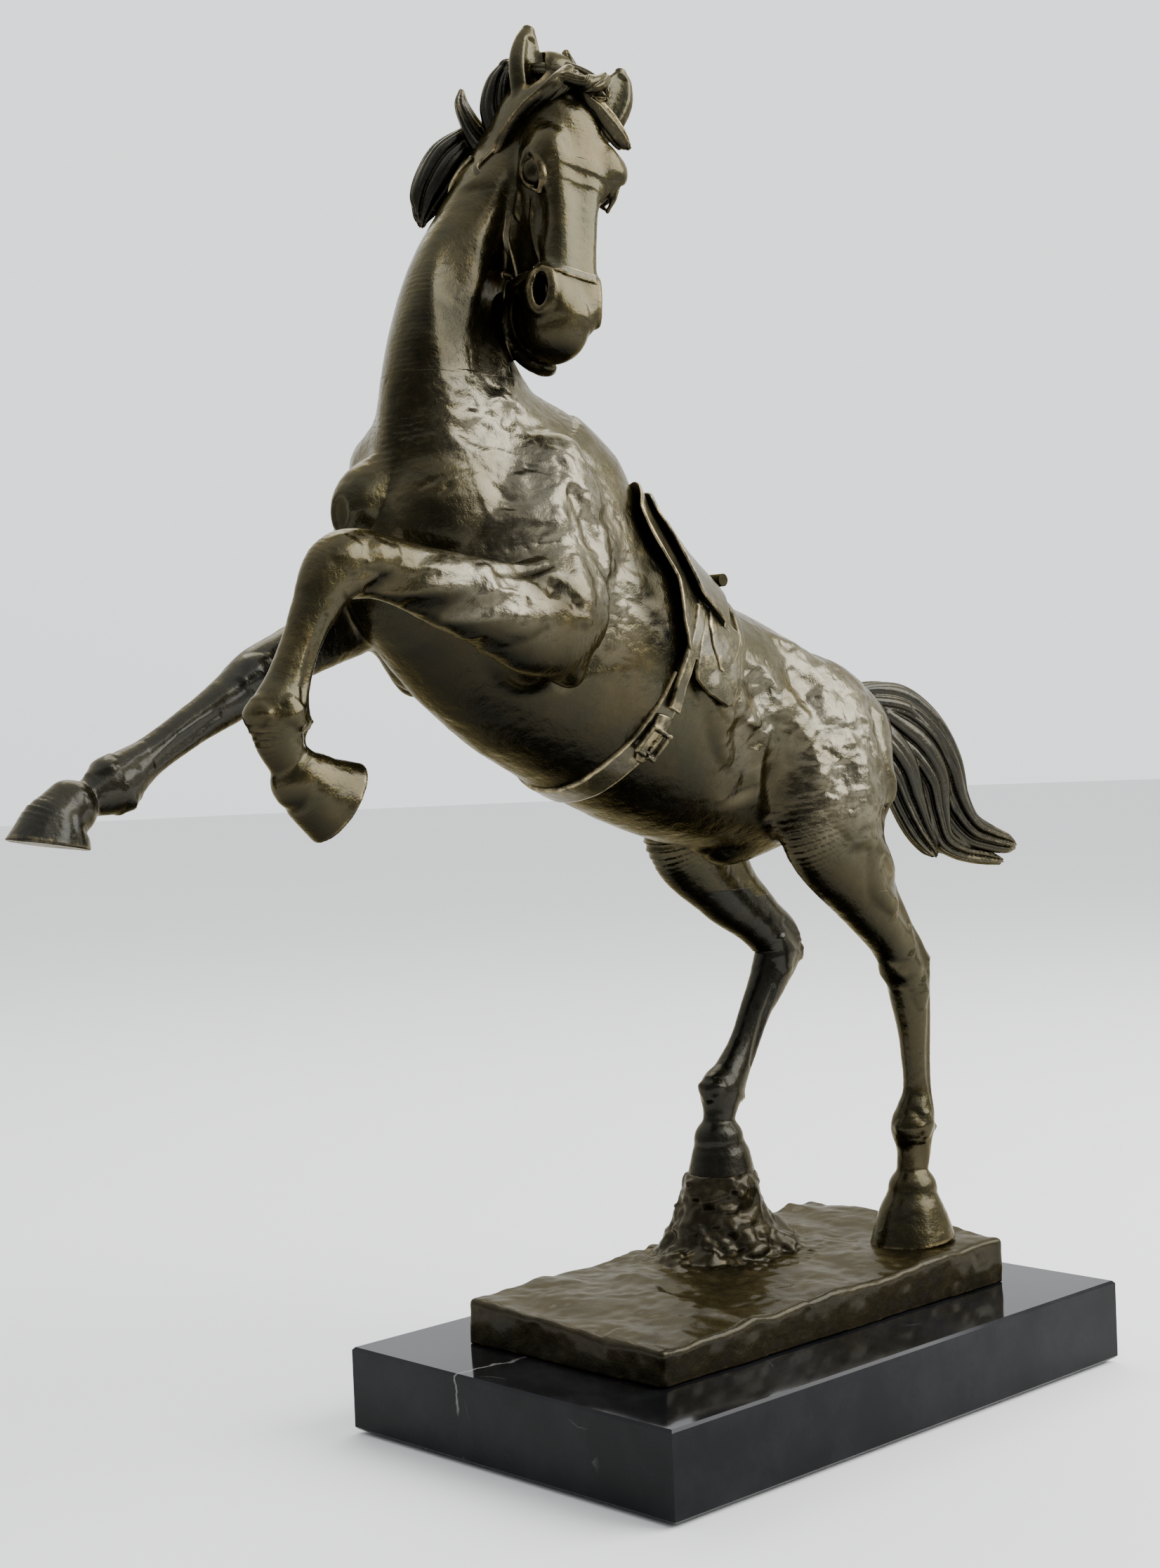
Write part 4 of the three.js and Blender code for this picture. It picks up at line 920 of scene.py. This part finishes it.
def build_saddle(horse):
    skin = Skin(Chain(TRUNK), horse)
    pieces = {
        "saddle_panel": panel("saddle_panel", skin, BLANKET, 0.6, 1.4, rise=(0, 4), rows=90),
        "saddle_border": panel("saddle_border", skin, BORDER, 0.6, 3.0, rows=90, columns=6),
        "saddle_top": panel("saddle_top", skin, SEAT, 3.4, 1.6, rise=(1.0, 4.5), rows=90),
        "girth": panel("girth", skin, GIRTH, -0.5, 2.2, rows=120, columns=8),
    }
    for side, turned in (("left", lambda rows: rows), ("right", opposite)):
        pieces[side + "_flap"] = panel("flap_" + side, skin, turned(LOWER_FLAP), 2.4, 2.4)
        pieces[side + "_inner_flap"] = panel("inner_flap_" + side, skin, turned(INNER_FLAP), 4.8, 0.9)
        pieces[side + "_strap"] = panel("strap_" + side, skin, turned(STRAP), 3.2, 2.2, rows=50, columns=8)
    return pieces


def build_buckle(horse):
    """The girth's buckle on the left side, with the strap's tongue through it."""
    skin = Skin(Chain(TRUNK), horse)

    def at(u, degrees, lift):
        return skin.point(np.array([u]), np.array([float(degrees)]), lift)[0][0]

    buckle = Sculpture()
    corners = [(5.93, 117.2), (5.68, 117.2), (5.67, 128.4), (5.92, 128.4)]
    frame_points = [at(u, d, 4.4) for u, d in corners]
    for k in range(4):
        buckle.add(cord([frame_points[k], frame_points[(k + 1) % 4]], 1.15), 0.8)
    middle = [(frame_points[0] + frame_points[1]) / 2, (frame_points[2] + frame_points[3]) / 2]
    buckle.add(cord([middle[0], middle[0] * 0.35 + middle[1] * 0.65 + (0, -1.2, 0)], 0.8, [1, 0.6]), 0.4)
    tongue = [at(u, d, 3.0) for u, d in ((5.86, 112), (5.82, 118), (5.80, 124), (5.78, 129), (5.77, 132))]
    rows = [[*p, w, 1.2] for p, w in zip(tongue, (4.2, 4.4, 4.4, 4.0, 2.6))]
    across = unit(frame_points[1] - frame_points[0])
    buckle.add(Chain(rows, side=across, step=0.8), 0.4)
    for u, d in ((5.80, 122.5), (5.79, 125.5), (5.78, 128.5)):
        buckle.cut(Ellipsoid(at(u, d, 4.2), (1.0, 1.0, 1.6), (1, 0, 0), (0, -1, 0)), 0.3)
    place = np.array(frame_points).mean(axis=0)
    return cast("buckle", buckle, place - 22, place + 22, 0.45, calm=0.3)


NOSEBAND = [(88, -18, 7), (87, -12, 14), (86, 0, 15), (87.5, 10, 14.5), (89.5, 18, 10), (90, 21, 3),
            (90.5, 19, -4), (91, 12, -9), (89.5, 0, -10), (88, -8, -10)]
CHEEK_STRAP = [(86, -9, 14.5), (76, -10, 15), (66, -12, 16.5), (56, -15, 18.5), (44, -17.5, 20),
               (34, -13.5, 21), (26, -6.5, 20.5)]
THROAT_STRAP = [(86, -13, 14), (79, -20, 14.5), (71, -27, 15.5), (62, -33, 15.5), (53, -36, 15),
                (45, -35, 15.5), (39, -29, 18), (34, -22, 19.5)]


def build_halter(horse):
    def laid(name, path, width, thickness, mirror=False, lift=0.2):
        side = -1 if mirror else 1
        places = [head_point((down, face, right * side)) for down, face, right in path]
        return ribbon(name, places, horse, width, thickness, lift)

    return {
        "noseband": laid("nose_strap", NOSEBAND, 3.6, 1.3),
        "right_cheek_strap": laid("cheek_strap_right", CHEEK_STRAP, 3.0, 1.2),
        "left_cheek_strap": laid("cheek_strap_left", CHEEK_STRAP, 3.0, 1.2, mirror=True),
        "throat_strap": laid("throat_strap_right", THROAT_STRAP, 2.6, 1.3),
        "left_throat_strap": laid("throat_strap_left", THROAT_STRAP, 2.6, 1.3, mirror=True),
    }


# ---------------------------------------------------------------- ground

SLAB_CORNERS = [(-119, -62, 56.6), (124, -62, 62.2), (124, 65, 66.5), (-120, 65, 60.8)]
MOUND = [[24, 34, 46, 34, 47], [22, 33, 60, 30, 40], [19, 31, 74, 24, 29], [18, 30, 85, 20, 23],
         [17, 29, 93, 18, 20]]


class Slab:
    """The ground: a four-sided block whose top slopes and ripples."""

    def __init__(self, corners, foot):
        self.corners = np.array(corners, float)
        self.foot = foot
        self.low = self.corners.min(axis=0) - (4, 4, 30)
        self.high = self.corners.max(axis=0) + (4, 4, 6)

    def distance(self, points):
        a, b, c, d = self.corners
        s = (points[:, 0] - a[0]) / (b[0] - a[0])
        t = (points[:, 1] - a[1]) / (d[1] - a[1])
        height = (a[2] * (1 - s) + b[2] * s) * (1 - t) + (d[2] * (1 - s) + c[2] * s) * t
        warped = points + 4.0 * np.stack([noise(points * (1, 1, 0), 16, k) for k in (41, 42, 43)], axis=1)
        height = height + noise(warped * (1, 0.55, 0), 15, 44) * 1.5 + noise(warped * (1, 1, 0), 5, 45) * 0.35
        result = points[:, 2] - height
        wander = noise(points, 22, 46) * 0.9 + noise(points, 6, 47) * 0.4
        for k in range(4):
            here, there = self.corners[k], self.corners[(k + 1) % 4]
            edge = unit((there - here)[:2])
            out = np.array([edge[1], -edge[0]])
            result = -smooth_union(-result, -((points[:, :2] - here[:2]) @ out + 1.2 + wander), 3.2)
        return np.maximum(result, self.foot - points[:, 2])


def build_ground():
    ground = Sculpture()
    ground.add(Slab(SLAB_CORNERS, 40.3), 2)
    ground.add(Chain(MOUND), 8)
    stones = [((38, 8, 66), 9), ((-4, 18, 64), 8), ((44, 40, 66), 10), ((2, 44, 68), 9), ((16, 6, 66), 7),
              ((36, 22, 78), 6), ((4, 20, 80), 5), ((30, 44, 80), 6), ((-14, 30, 63), 8), ((54, 26, 64), 8)]
    for place, radius in stones:
        ground.add(Ellipsoid(place, (radius, radius * 0.8, radius * 0.6), (1, 0.4, 0.2), (0, 0, 1)), 4)
    return ground


class Box:
    def __init__(self, low, high):
        self.low, self.high = np.array(low, float), np.array(high, float)

    def distance(self, points):
        return np.maximum(self.low - points, points - self.high).max(axis=1)


class Rocky:
    """The mound's rough surface added to the ground's field."""

    def __init__(self, ground):
        self.ground = ground

    def distance(self, points):
        field = self.ground.distance(points)
        away = np.linalg.norm((points - (20, 29, 70)) * (1, 1, 0.9), axis=1)
        rough = np.clip((52 - away) / 14, 0, 1)
        pits = noise(points, 6.5, 51) * 1.5 + noise(points, 3.2, 52) * 0.9
        return field + pits * rough

    slope = Sculpture.slope


# ---------------------------------------------------------------- materials

def new_material(name):
    material = bpy.data.materials.new(name)
    material.use_nodes = True
    tree = material.node_tree
    return material, tree, tree.nodes["Principled BSDF"]


def add_node(tree, kind, **values):
    """A node with its inputs set: plain values by socket name, sockets linked."""
    node = tree.nodes.new(kind)
    for name, value in values.items():
        if name in ("operation", "attribute_name", "feature", "use_clamp"):
            setattr(node, name, value)
            continue
        socket = node.inputs[int(name[1:])] if name[0] == "i" and name[1:].isdigit() else node.inputs[name]
        if isinstance(value, bpy.types.NodeSocket):
            tree.links.new(value, socket)
        else:
            socket.default_value = value
    return node


def math_node(tree, operation, a, b=0.0, clamp=False):
    return add_node(tree, "ShaderNodeMath", operation=operation, use_clamp=clamp, i0=a, i1=b).outputs[0]


def remap(tree, value, low, high, to_low=0.0, to_high=1.0):
    node = add_node(tree, "ShaderNodeMapRange", Value=value)
    node.inputs["From Min"].default_value = low
    node.inputs["From Max"].default_value = high
    node.inputs["To Min"].default_value = to_low
    node.inputs["To Max"].default_value = to_high
    return node.outputs[0]


def mix_colour(tree, factor, a, b):
    node = tree.nodes.new("ShaderNodeMix")
    node.data_type = "RGBA"
    for socket, value in ((node.inputs[0], factor), (node.inputs[6], a), (node.inputs[7], b)):
        if isinstance(value, bpy.types.NodeSocket):
            tree.links.new(value, socket)
        else:
            socket.default_value = value
    return node.outputs[2]


def noise_texture(tree, coordinates, scale, detail=3.0, roughness=0.55, distortion=0.0):
    node = add_node(tree, "ShaderNodeTexNoise", Vector=coordinates, Scale=scale, Detail=detail,
                    Roughness=roughness, Distortion=distortion)
    return node.outputs[0]


def attribute(tree, name):
    return add_node(tree, "ShaderNodeAttribute", attribute_name=name).outputs["Fac"]


def bump(tree, height, strength, distance, normal=None):
    node = add_node(tree, "ShaderNodeBump", Height=height, Strength=strength, Distance=distance)
    if normal is not None:
        tree.links.new(normal, node.inputs["Normal"])
    return node.outputs[0]


# Colours of the patina and the wax coat over it. The polished colour is rubbed metal with a painted
# highlight, the recessed colour is the dark patina of the hollows with painted shade, and the near-black
# colour is painted shade.
POLISHED_AND_HIGHLIGHT = (0.160, 0.146, 0.106, 1)
RECESS_PATINA_AND_SHADE = (0.020, 0.018, 0.010, 1)
SHADE_BLACK = (0.005, 0.005, 0.004, 1)
EDGE_TINT = (0.60, 0.55, 0.42, 1)
WAX_COAT = 0.34


def bronze(name, olive, brown, gold, rub=1.0, gloss=0.30):
    """Patinated bronze: brown and olive skin, golden where it is rubbed, dark patina and painted shade in the
    recesses, near-black painted shade where the dark attribute is set, and a painted highlight on the
    polished zones.
    """
    material, tree, shader = new_material(name)
    place = add_node(tree, "ShaderNodeTexCoord").outputs["Object"]
    blotches = noise_texture(tree, place, 34, 4, 0.6, 0.4)
    mottle = noise_texture(tree, place, 150, 4, 0.65)
    grain = noise_texture(tree, place, 900, 3, 0.6)
    skin = mix_colour(tree, remap(tree, blotches, 0.36, 0.66), (*olive, 1), (*brown, 1))
    lit = [min(1.0, c * 1.55) for c in brown]
    skin = mix_colour(tree, remap(tree, mottle, 0.52, 0.80, 0.0, 0.6), skin, (*lit, 1))
    # Rubbed metal and painted highlight on the chiselled zones.
    uneven = remap(tree, mottle, 0.30, 0.62, 0.25, 0.8)
    polish_and_highlight = math_node(tree, "MULTIPLY", attribute(tree, "polish_and_highlight"), uneven)
    skin = mix_colour(tree, polish_and_highlight, skin, POLISHED_AND_HIGHLIGHT)
    # Dark patina of the hollows and painted shade, where the surface is enclosed.
    opened = math_node(tree, "ADD", attribute(tree, "open"), remap(tree, mottle, 0.3, 0.7, -0.10, 0.10))
    recess_patina_and_shade = remap(tree, opened, 0.22, 0.66, 1.0, 0.0)
    colour = mix_colour(tree, recess_patina_and_shade, skin, RECESS_PATINA_AND_SHADE)
    # Golden where it is rubbed: on ridges, and on leather rims as rubbed metal with a painted edge highlight.
    rubbing = math_node(tree, "MULTIPLY", remap(tree, attribute(tree, "ridge"), 0.40, 0.75),
                        remap(tree, mottle, 0.38, 0.60))
    rubbing = math_node(tree, "MULTIPLY", rubbing, rub, clamp=True)
    colour = mix_colour(tree, rubbing, colour, (*gold, 1))
    # Painted shade: the near-black colour laid where the dark attribute is set.
    black = attribute(tree, "dark")
    colour = mix_colour(tree, black, colour, SHADE_BLACK)
    tree.links.new(colour, shader.inputs["Base Color"])
    dull = math_node(tree, "ADD", remap(tree, mottle, 0.3, 0.75, gloss - 0.07, gloss + 0.12),
                     math_node(tree, "MULTIPLY", recess_patina_and_shade, 0.16))
    tree.links.new(dull, shader.inputs["Roughness"])
    shader.inputs["Metallic"].default_value = 0.93
    # The wax coat is left off where the dark patina, the painted shade and the near-black painted shade lie.
    coat_outside_shade = math_node(tree, "SUBTRACT", 1.0, math_node(tree, "MAXIMUM", recess_patina_and_shade, black))
    coat = math_node(tree, "MULTIPLY", coat_outside_shade, WAX_COAT)
    tree.links.new(coat, shader.inputs["Coat Weight"])
    shader.inputs["Specular Tint"].default_value = EDGE_TINT
    shader.inputs["Coat Roughness"].default_value = 0.16
    shader.inputs["Coat IOR"].default_value = 1.45
    pits = add_node(tree, "ShaderNodeTexVoronoi", Vector=place, Scale=420.0)
    pitted = remap(tree, pits.outputs["Distance"], 0.0, 0.35)
    relief = bump(tree, mottle, 0.55, 0.0012)
    relief = bump(tree, grain, 0.35, 0.0003, relief)
    relief = bump(tree, pitted, 0.10, 0.0003, relief)
    tree.links.new(relief, shader.inputs["Normal"])
    return material


def marble():
    """Polished black marble with a few thin white veins."""
    material, tree, shader = new_material("black_marble")
    place = add_node(tree, "ShaderNodeTexCoord").outputs["Object"]
    drift = add_node(tree, "ShaderNodeTexNoise", Vector=place, Scale=9.0, Detail=6.0, Roughness=0.62)
    spread = add_node(tree, "ShaderNodeVectorMath", operation="SCALE", i0=drift.outputs["Color"])
    spread.inputs["Scale"].default_value = 0.05
    bent = add_node(tree, "ShaderNodeVectorMath", operation="ADD", i0=place, i1=spread.outputs[0]).outputs[0]
    cells = add_node(tree, "ShaderNodeTexVoronoi", feature="DISTANCE_TO_EDGE", Vector=bent, Scale=9.0)
    thin = remap(tree, cells.outputs["Distance"], 0.0, 0.005, 1.0, 0.0)
    patch = remap(tree, noise_texture(tree, place, 13, 2), 0.60, 0.74)
    veins = math_node(tree, "MULTIPLY", thin, patch)
    parts = add_node(tree, "ShaderNodeSeparateXYZ", Vector=bent)
    across = math_node(tree, "ABSOLUTE", math_node(tree, "SUBTRACT", parts.outputs["Y"], 0.052))
    streak = remap(tree, across, 0.0003, 0.0011, 1.0, 0.0)
    streak = math_node(tree, "MULTIPLY", streak, remap(tree, noise_texture(tree, place, 60, 3), 0.38, 0.55))
    front = remap(tree, parts.outputs["X"], -0.10, -0.06, 1.0, 0.0)
    veins = math_node(tree, "MAXIMUM", veins, math_node(tree, "MULTIPLY", streak, front))
    cloud = noise_texture(tree, place, 22, 5, 0.6)
    ground = mix_colour(tree, remap(tree, cloud, 0.4, 0.8), (0.0035, 0.0037, 0.0042, 1),
                        (0.014, 0.014, 0.016, 1))
    colour = mix_colour(tree, math_node(tree, "MULTIPLY", veins, 0.25), ground, (0.55, 0.54, 0.50, 1))
    tree.links.new(colour, shader.inputs["Base Color"])
    rough = remap(tree, noise_texture(tree, place, 40, 4), 0.3, 0.8, 0.05, 0.13)
    tree.links.new(rough, shader.inputs["Roughness"])
    shader.inputs["IOR"].default_value = 1.2
    return material


def felt():
    material, tree, shader = new_material("green_baize")
    place = add_node(tree, "ShaderNodeTexCoord").outputs["Object"]
    fibres = noise_texture(tree, place, 1600, 5, 0.7)
    colour = mix_colour(tree, remap(tree, fibres, 0.3, 0.7), (0.006, 0.03, 0.012, 1), (0.02, 0.075, 0.03, 1))
    tree.links.new(colour, shader.inputs["Base Color"])
    tree.links.new(remap(tree, fibres, 0.3, 0.7, 0.85, 1.0), shader.inputs["Roughness"])
    tree.links.new(bump(tree, fibres, 0.6, 0.0004), shader.inputs["Normal"])
    return material


def plated_steel():
    material, tree, shader = new_material("zinc_plated_steel")
    place = add_node(tree, "ShaderNodeTexCoord").outputs["Object"]
    spangle = noise_texture(tree, place, 260, 3)
    colour = mix_colour(tree, remap(tree, spangle, 0.35, 0.7), (0.48, 0.49, 0.50, 1), (0.64, 0.64, 0.62, 1))
    tree.links.new(colour, shader.inputs["Base Color"])
    shader.inputs["Metallic"].default_value = 1.0
    tree.links.new(remap(tree, spangle, 0.3, 0.7, 0.28, 0.42), shader.inputs["Roughness"])
    tree.links.new(bump(tree, spangle, 0.2, 0.0002), shader.inputs["Normal"])
    return material


def pale_floor():
    material, tree, shader = new_material("pale_floor")
    place = add_node(tree, "ShaderNodeTexCoord").outputs["Object"]
    cloud = noise_texture(tree, place, 3, 4)
    colour = mix_colour(tree, cloud, (0.82, 0.82, 0.81, 1), (0.86, 0.855, 0.84, 1))
    tree.links.new(colour, shader.inputs["Base Color"])
    tree.links.new(remap(tree, cloud, 0.3, 0.7, 0.8, 0.9), shader.inputs["Roughness"])
    return material


LOOKS = {
    "bronze": bronze("bronze", (0.031, 0.028, 0.012), (0.045, 0.034, 0.012), (0.28, 0.21, 0.095), 0.7, 0.27),
    # A darker copy of the bronze: painted shade on the far-side legs, and darker bronze for the tail and
    # mane.
    "dark_bronze": bronze("dark_bronze", (0.015, 0.015, 0.011), (0.023, 0.020, 0.012), (0.18, 0.15, 0.08),
                          0.5),
    "rubbed_bronze": bronze("rubbed_bronze", (0.045, 0.042, 0.026), (0.062, 0.052, 0.028), (0.32, 0.26, 0.14),
                            1.0, 0.36),
    "ground_bronze": bronze("ground_bronze", (0.021, 0.018, 0.009), (0.034, 0.026, 0.011),
                            (0.18, 0.13, 0.055), 0.6, 0.42),
    "marble": marble(),
    "felt": felt(),
    "steel": plated_steel(),
}


# ---------------------------------------------------------------- building the statue

def dress(piece, look, nodes):
    piece.data.materials.clear()
    piece.data.materials.append(LOOKS[look])
    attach(piece, "root")
    if nodes:
        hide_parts(*nodes)


horse = sculpt_horse()
sculpt_head(horse)

# The limbs are cast apart from the body and meet it on these planes.
SEAM = 2.5
LEFT_FORE_BOX = Box((-312, -80, 270), (-205, -30, 410))
RIGHT_FORE_BOX = Box((-372, 14, 262), (-205, 62, 376))
LEFT_HIND_BOX = Box((0, -60, 52), (116, 0, 236))
RIGHT_HIND_BOX = Box((-14, 0, 84), (100, 60, 236))
HEAD_BOX = Box((-206, -78, 468), (-72, 66, 632))


def body_only(points):
    inside = np.minimum(LEFT_FORE_BOX.distance(points), RIGHT_FORE_BOX.distance(points))
    return -(inside + SEAM)


dress(cast("body", horse, (-222, -80, 236 - SEAM), (112, 80, 468 + SEAM), 0.9, keep=body_only), "bronze",
      ["torso_casting"])
dress(cast("head_and_neck", horse, HEAD_BOX.low, HEAD_BOX.high, 0.55, calm=0.55), "bronze",
      ["neck_casting", "head_casting", "lower_jaw", "right_ear", "left_ear"])
# The far-side legs take the darker copy of the bronze as painted shade.
for name, box, look, nodes in (
        ("left_fore", LEFT_FORE_BOX, "bronze", ["left_fore_leg", "left_fore_hoof"]),
        ("right_fore", RIGHT_FORE_BOX, "dark_bronze", ["right_fore_leg", "right_fore_hoof"]),
        ("left_hind", LEFT_HIND_BOX, "bronze", ["left_hind_leg", "left_hind_hoof"]),
        ("right_hind", RIGHT_HIND_BOX, "dark_bronze", ["right_hind_leg", "right_hind_hoof"])):
    dress(cast(name, horse, box.low, box.high, 0.65, calm=0.7), look, nodes)
for name, hair, low, high, voxel, look in (
        ("tail", sculpt_tail(), (76, -28, 236), (222, 22, 352), 0.6, "dark_bronze"),
        ("mane", sculpt_mane(), (-172, -24, 534), (-108, 42, 618), 0.5, "dark_bronze"),
        ("forelock", sculpt_forelock(), (-168, -76, 548), (-84, 6, 618), 0.45, "bronze")):
    dress(cast(name + "_hair", hair, low, high, voxel, calm=0.25), look, [name])
ground = Rocky(build_ground())
dress(cast("ground", ground, (-128, -72, 39), (132, 75, 99), 1.0, calm=0.5), "ground_bronze",
      ["ground_casting", "rock_mound"])

SADDLE_NODES = {
    "saddle_panel": ["saddle_blanket"], "saddle_top": ["saddle_seat", "left_skirt", "right_skirt"],
    "girth": ["girth_strap"], "left_flap": ["left_flap"], "right_flap": ["right_flap"],
    "left_strap": ["left_billet"], "right_strap": ["right_billet"],
}
for name, piece in build_saddle(horse).items():
    dress(piece, "rubbed_bronze", SADDLE_NODES.get(name, []))
dress(build_buckle(horse), "rubbed_bronze", ["girth_buckle", "strap_tongue", "buckle_prong"])
HALTER_NODES = {"noseband": ["noseband"], "right_cheek_strap": ["right_cheek_strap"],
                "left_cheek_strap": ["left_cheek_strap"], "throat_strap": ["throat_latch"]}
for name, piece in build_halter(horse).items():
    dress(piece, "rubbed_bronze", HALTER_NODES.get(name, []))

SHOWN = {"marble_plinth": "marble", "felt_pad": "felt", "cantle_roll": "rubbed_bronze"}
for name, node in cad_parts.items():
    if not node.hide_render:
        node.data.materials.clear()
        node.data.materials.append(LOOKS[SHOWN.get(name, "steel")])


# ---------------------------------------------------------------- stage and camera

# In metres and degrees, like everything on the stage.
CAMERA_PLACE = (-0.81745, -0.75780, 0.32205)
CAMERA_TURN = (88.564, 2.324, -43.726)
CAMERA_LENS = 54.1  # mm, for a frame 36 mm tall
FLOOR_RADIUS = 9.0
# Windows: name, place, aim, width and height, watts.
LIGHTS = [
    ("window", (1.02, -1.28, 1.36), (-0.03, 0, 0.33), (1.9, 1.5), 78),
    ("front_window", (-0.35, -1.45, 1.60), (-0.03, 0, 0.35), (0.8, 0.8), 2.6),
    ("skylight", (0.7, 0.9, 1.7), (-0.03, 0, 0.3), (1.4, 1.0), 15),
]


def build_camera():
    """The photograph's view: from the horse's left and front, level with its chest."""
    camera = bpy.data.cameras.new("camera")
    camera.sensor_fit = "VERTICAL"
    camera.sensor_height = 36.0
    camera.lens = CAMERA_LENS
    camera.clip_end = 20
    holder = bpy.data.objects.new("camera", camera)
    bpy.context.scene.collection.objects.link(holder)
    holder.rotation_euler = [math.radians(angle) for angle in CAMERA_TURN]
    holder.location = CAMERA_PLACE
    bpy.context.scene.camera = holder


def build_stage():
    turns = np.linspace(0, 2 * math.pi, 96, endpoint=False)
    around = [(FLOOR_RADIUS * math.cos(a), FLOOR_RADIUS * math.sin(a), 0) for a in turns]
    mesh = bpy.data.meshes.new("floor")
    mesh.from_pydata(around, [], [list(range(len(around)))])
    floor = bpy.data.objects.new("floor", mesh)
    bpy.context.scene.collection.objects.link(floor)
    mesh.materials.append(pale_floor())


def build_room():
    """A pale room, brightest behind the statue and dark in front of it."""
    world = bpy.data.worlds.new("room")
    world.use_nodes = True
    tree = world.node_tree
    way = add_node(tree, "ShaderNodeTexCoord").outputs["Generated"]
    facing = add_node(tree, "ShaderNodeVectorMath", operation="DOT_PRODUCT", i0=way, i1=(0.55, 0.35, 0.76))
    level = remap(tree, facing.outputs["Value"], -0.30, 0.65, 0.09, 1.0)
    colour = mix_colour(tree, level, (0.10, 0.10, 0.11, 1), (0.92, 0.94, 0.97, 1))
    background = tree.nodes["Background"]
    tree.links.new(colour, background.inputs["Color"])
    background.inputs["Strength"].default_value = 1.75
    bpy.context.scene.world = world


def add_light(name, place, target, size, power):
    light = bpy.data.lights.new(name, "AREA")
    light.shape = "RECTANGLE"
    light.size, light.size_y = size
    light.energy = power
    holder = bpy.data.objects.new(name, light)
    holder.location = place
    direction = Vector(target) - Vector(place)
    holder.rotation_euler = direction.to_track_quat("-Z", "Y").to_euler()
    bpy.context.scene.collection.objects.link(holder)


build_camera()
build_stage()
build_room()
for row in LIGHTS:
    add_light(*row)
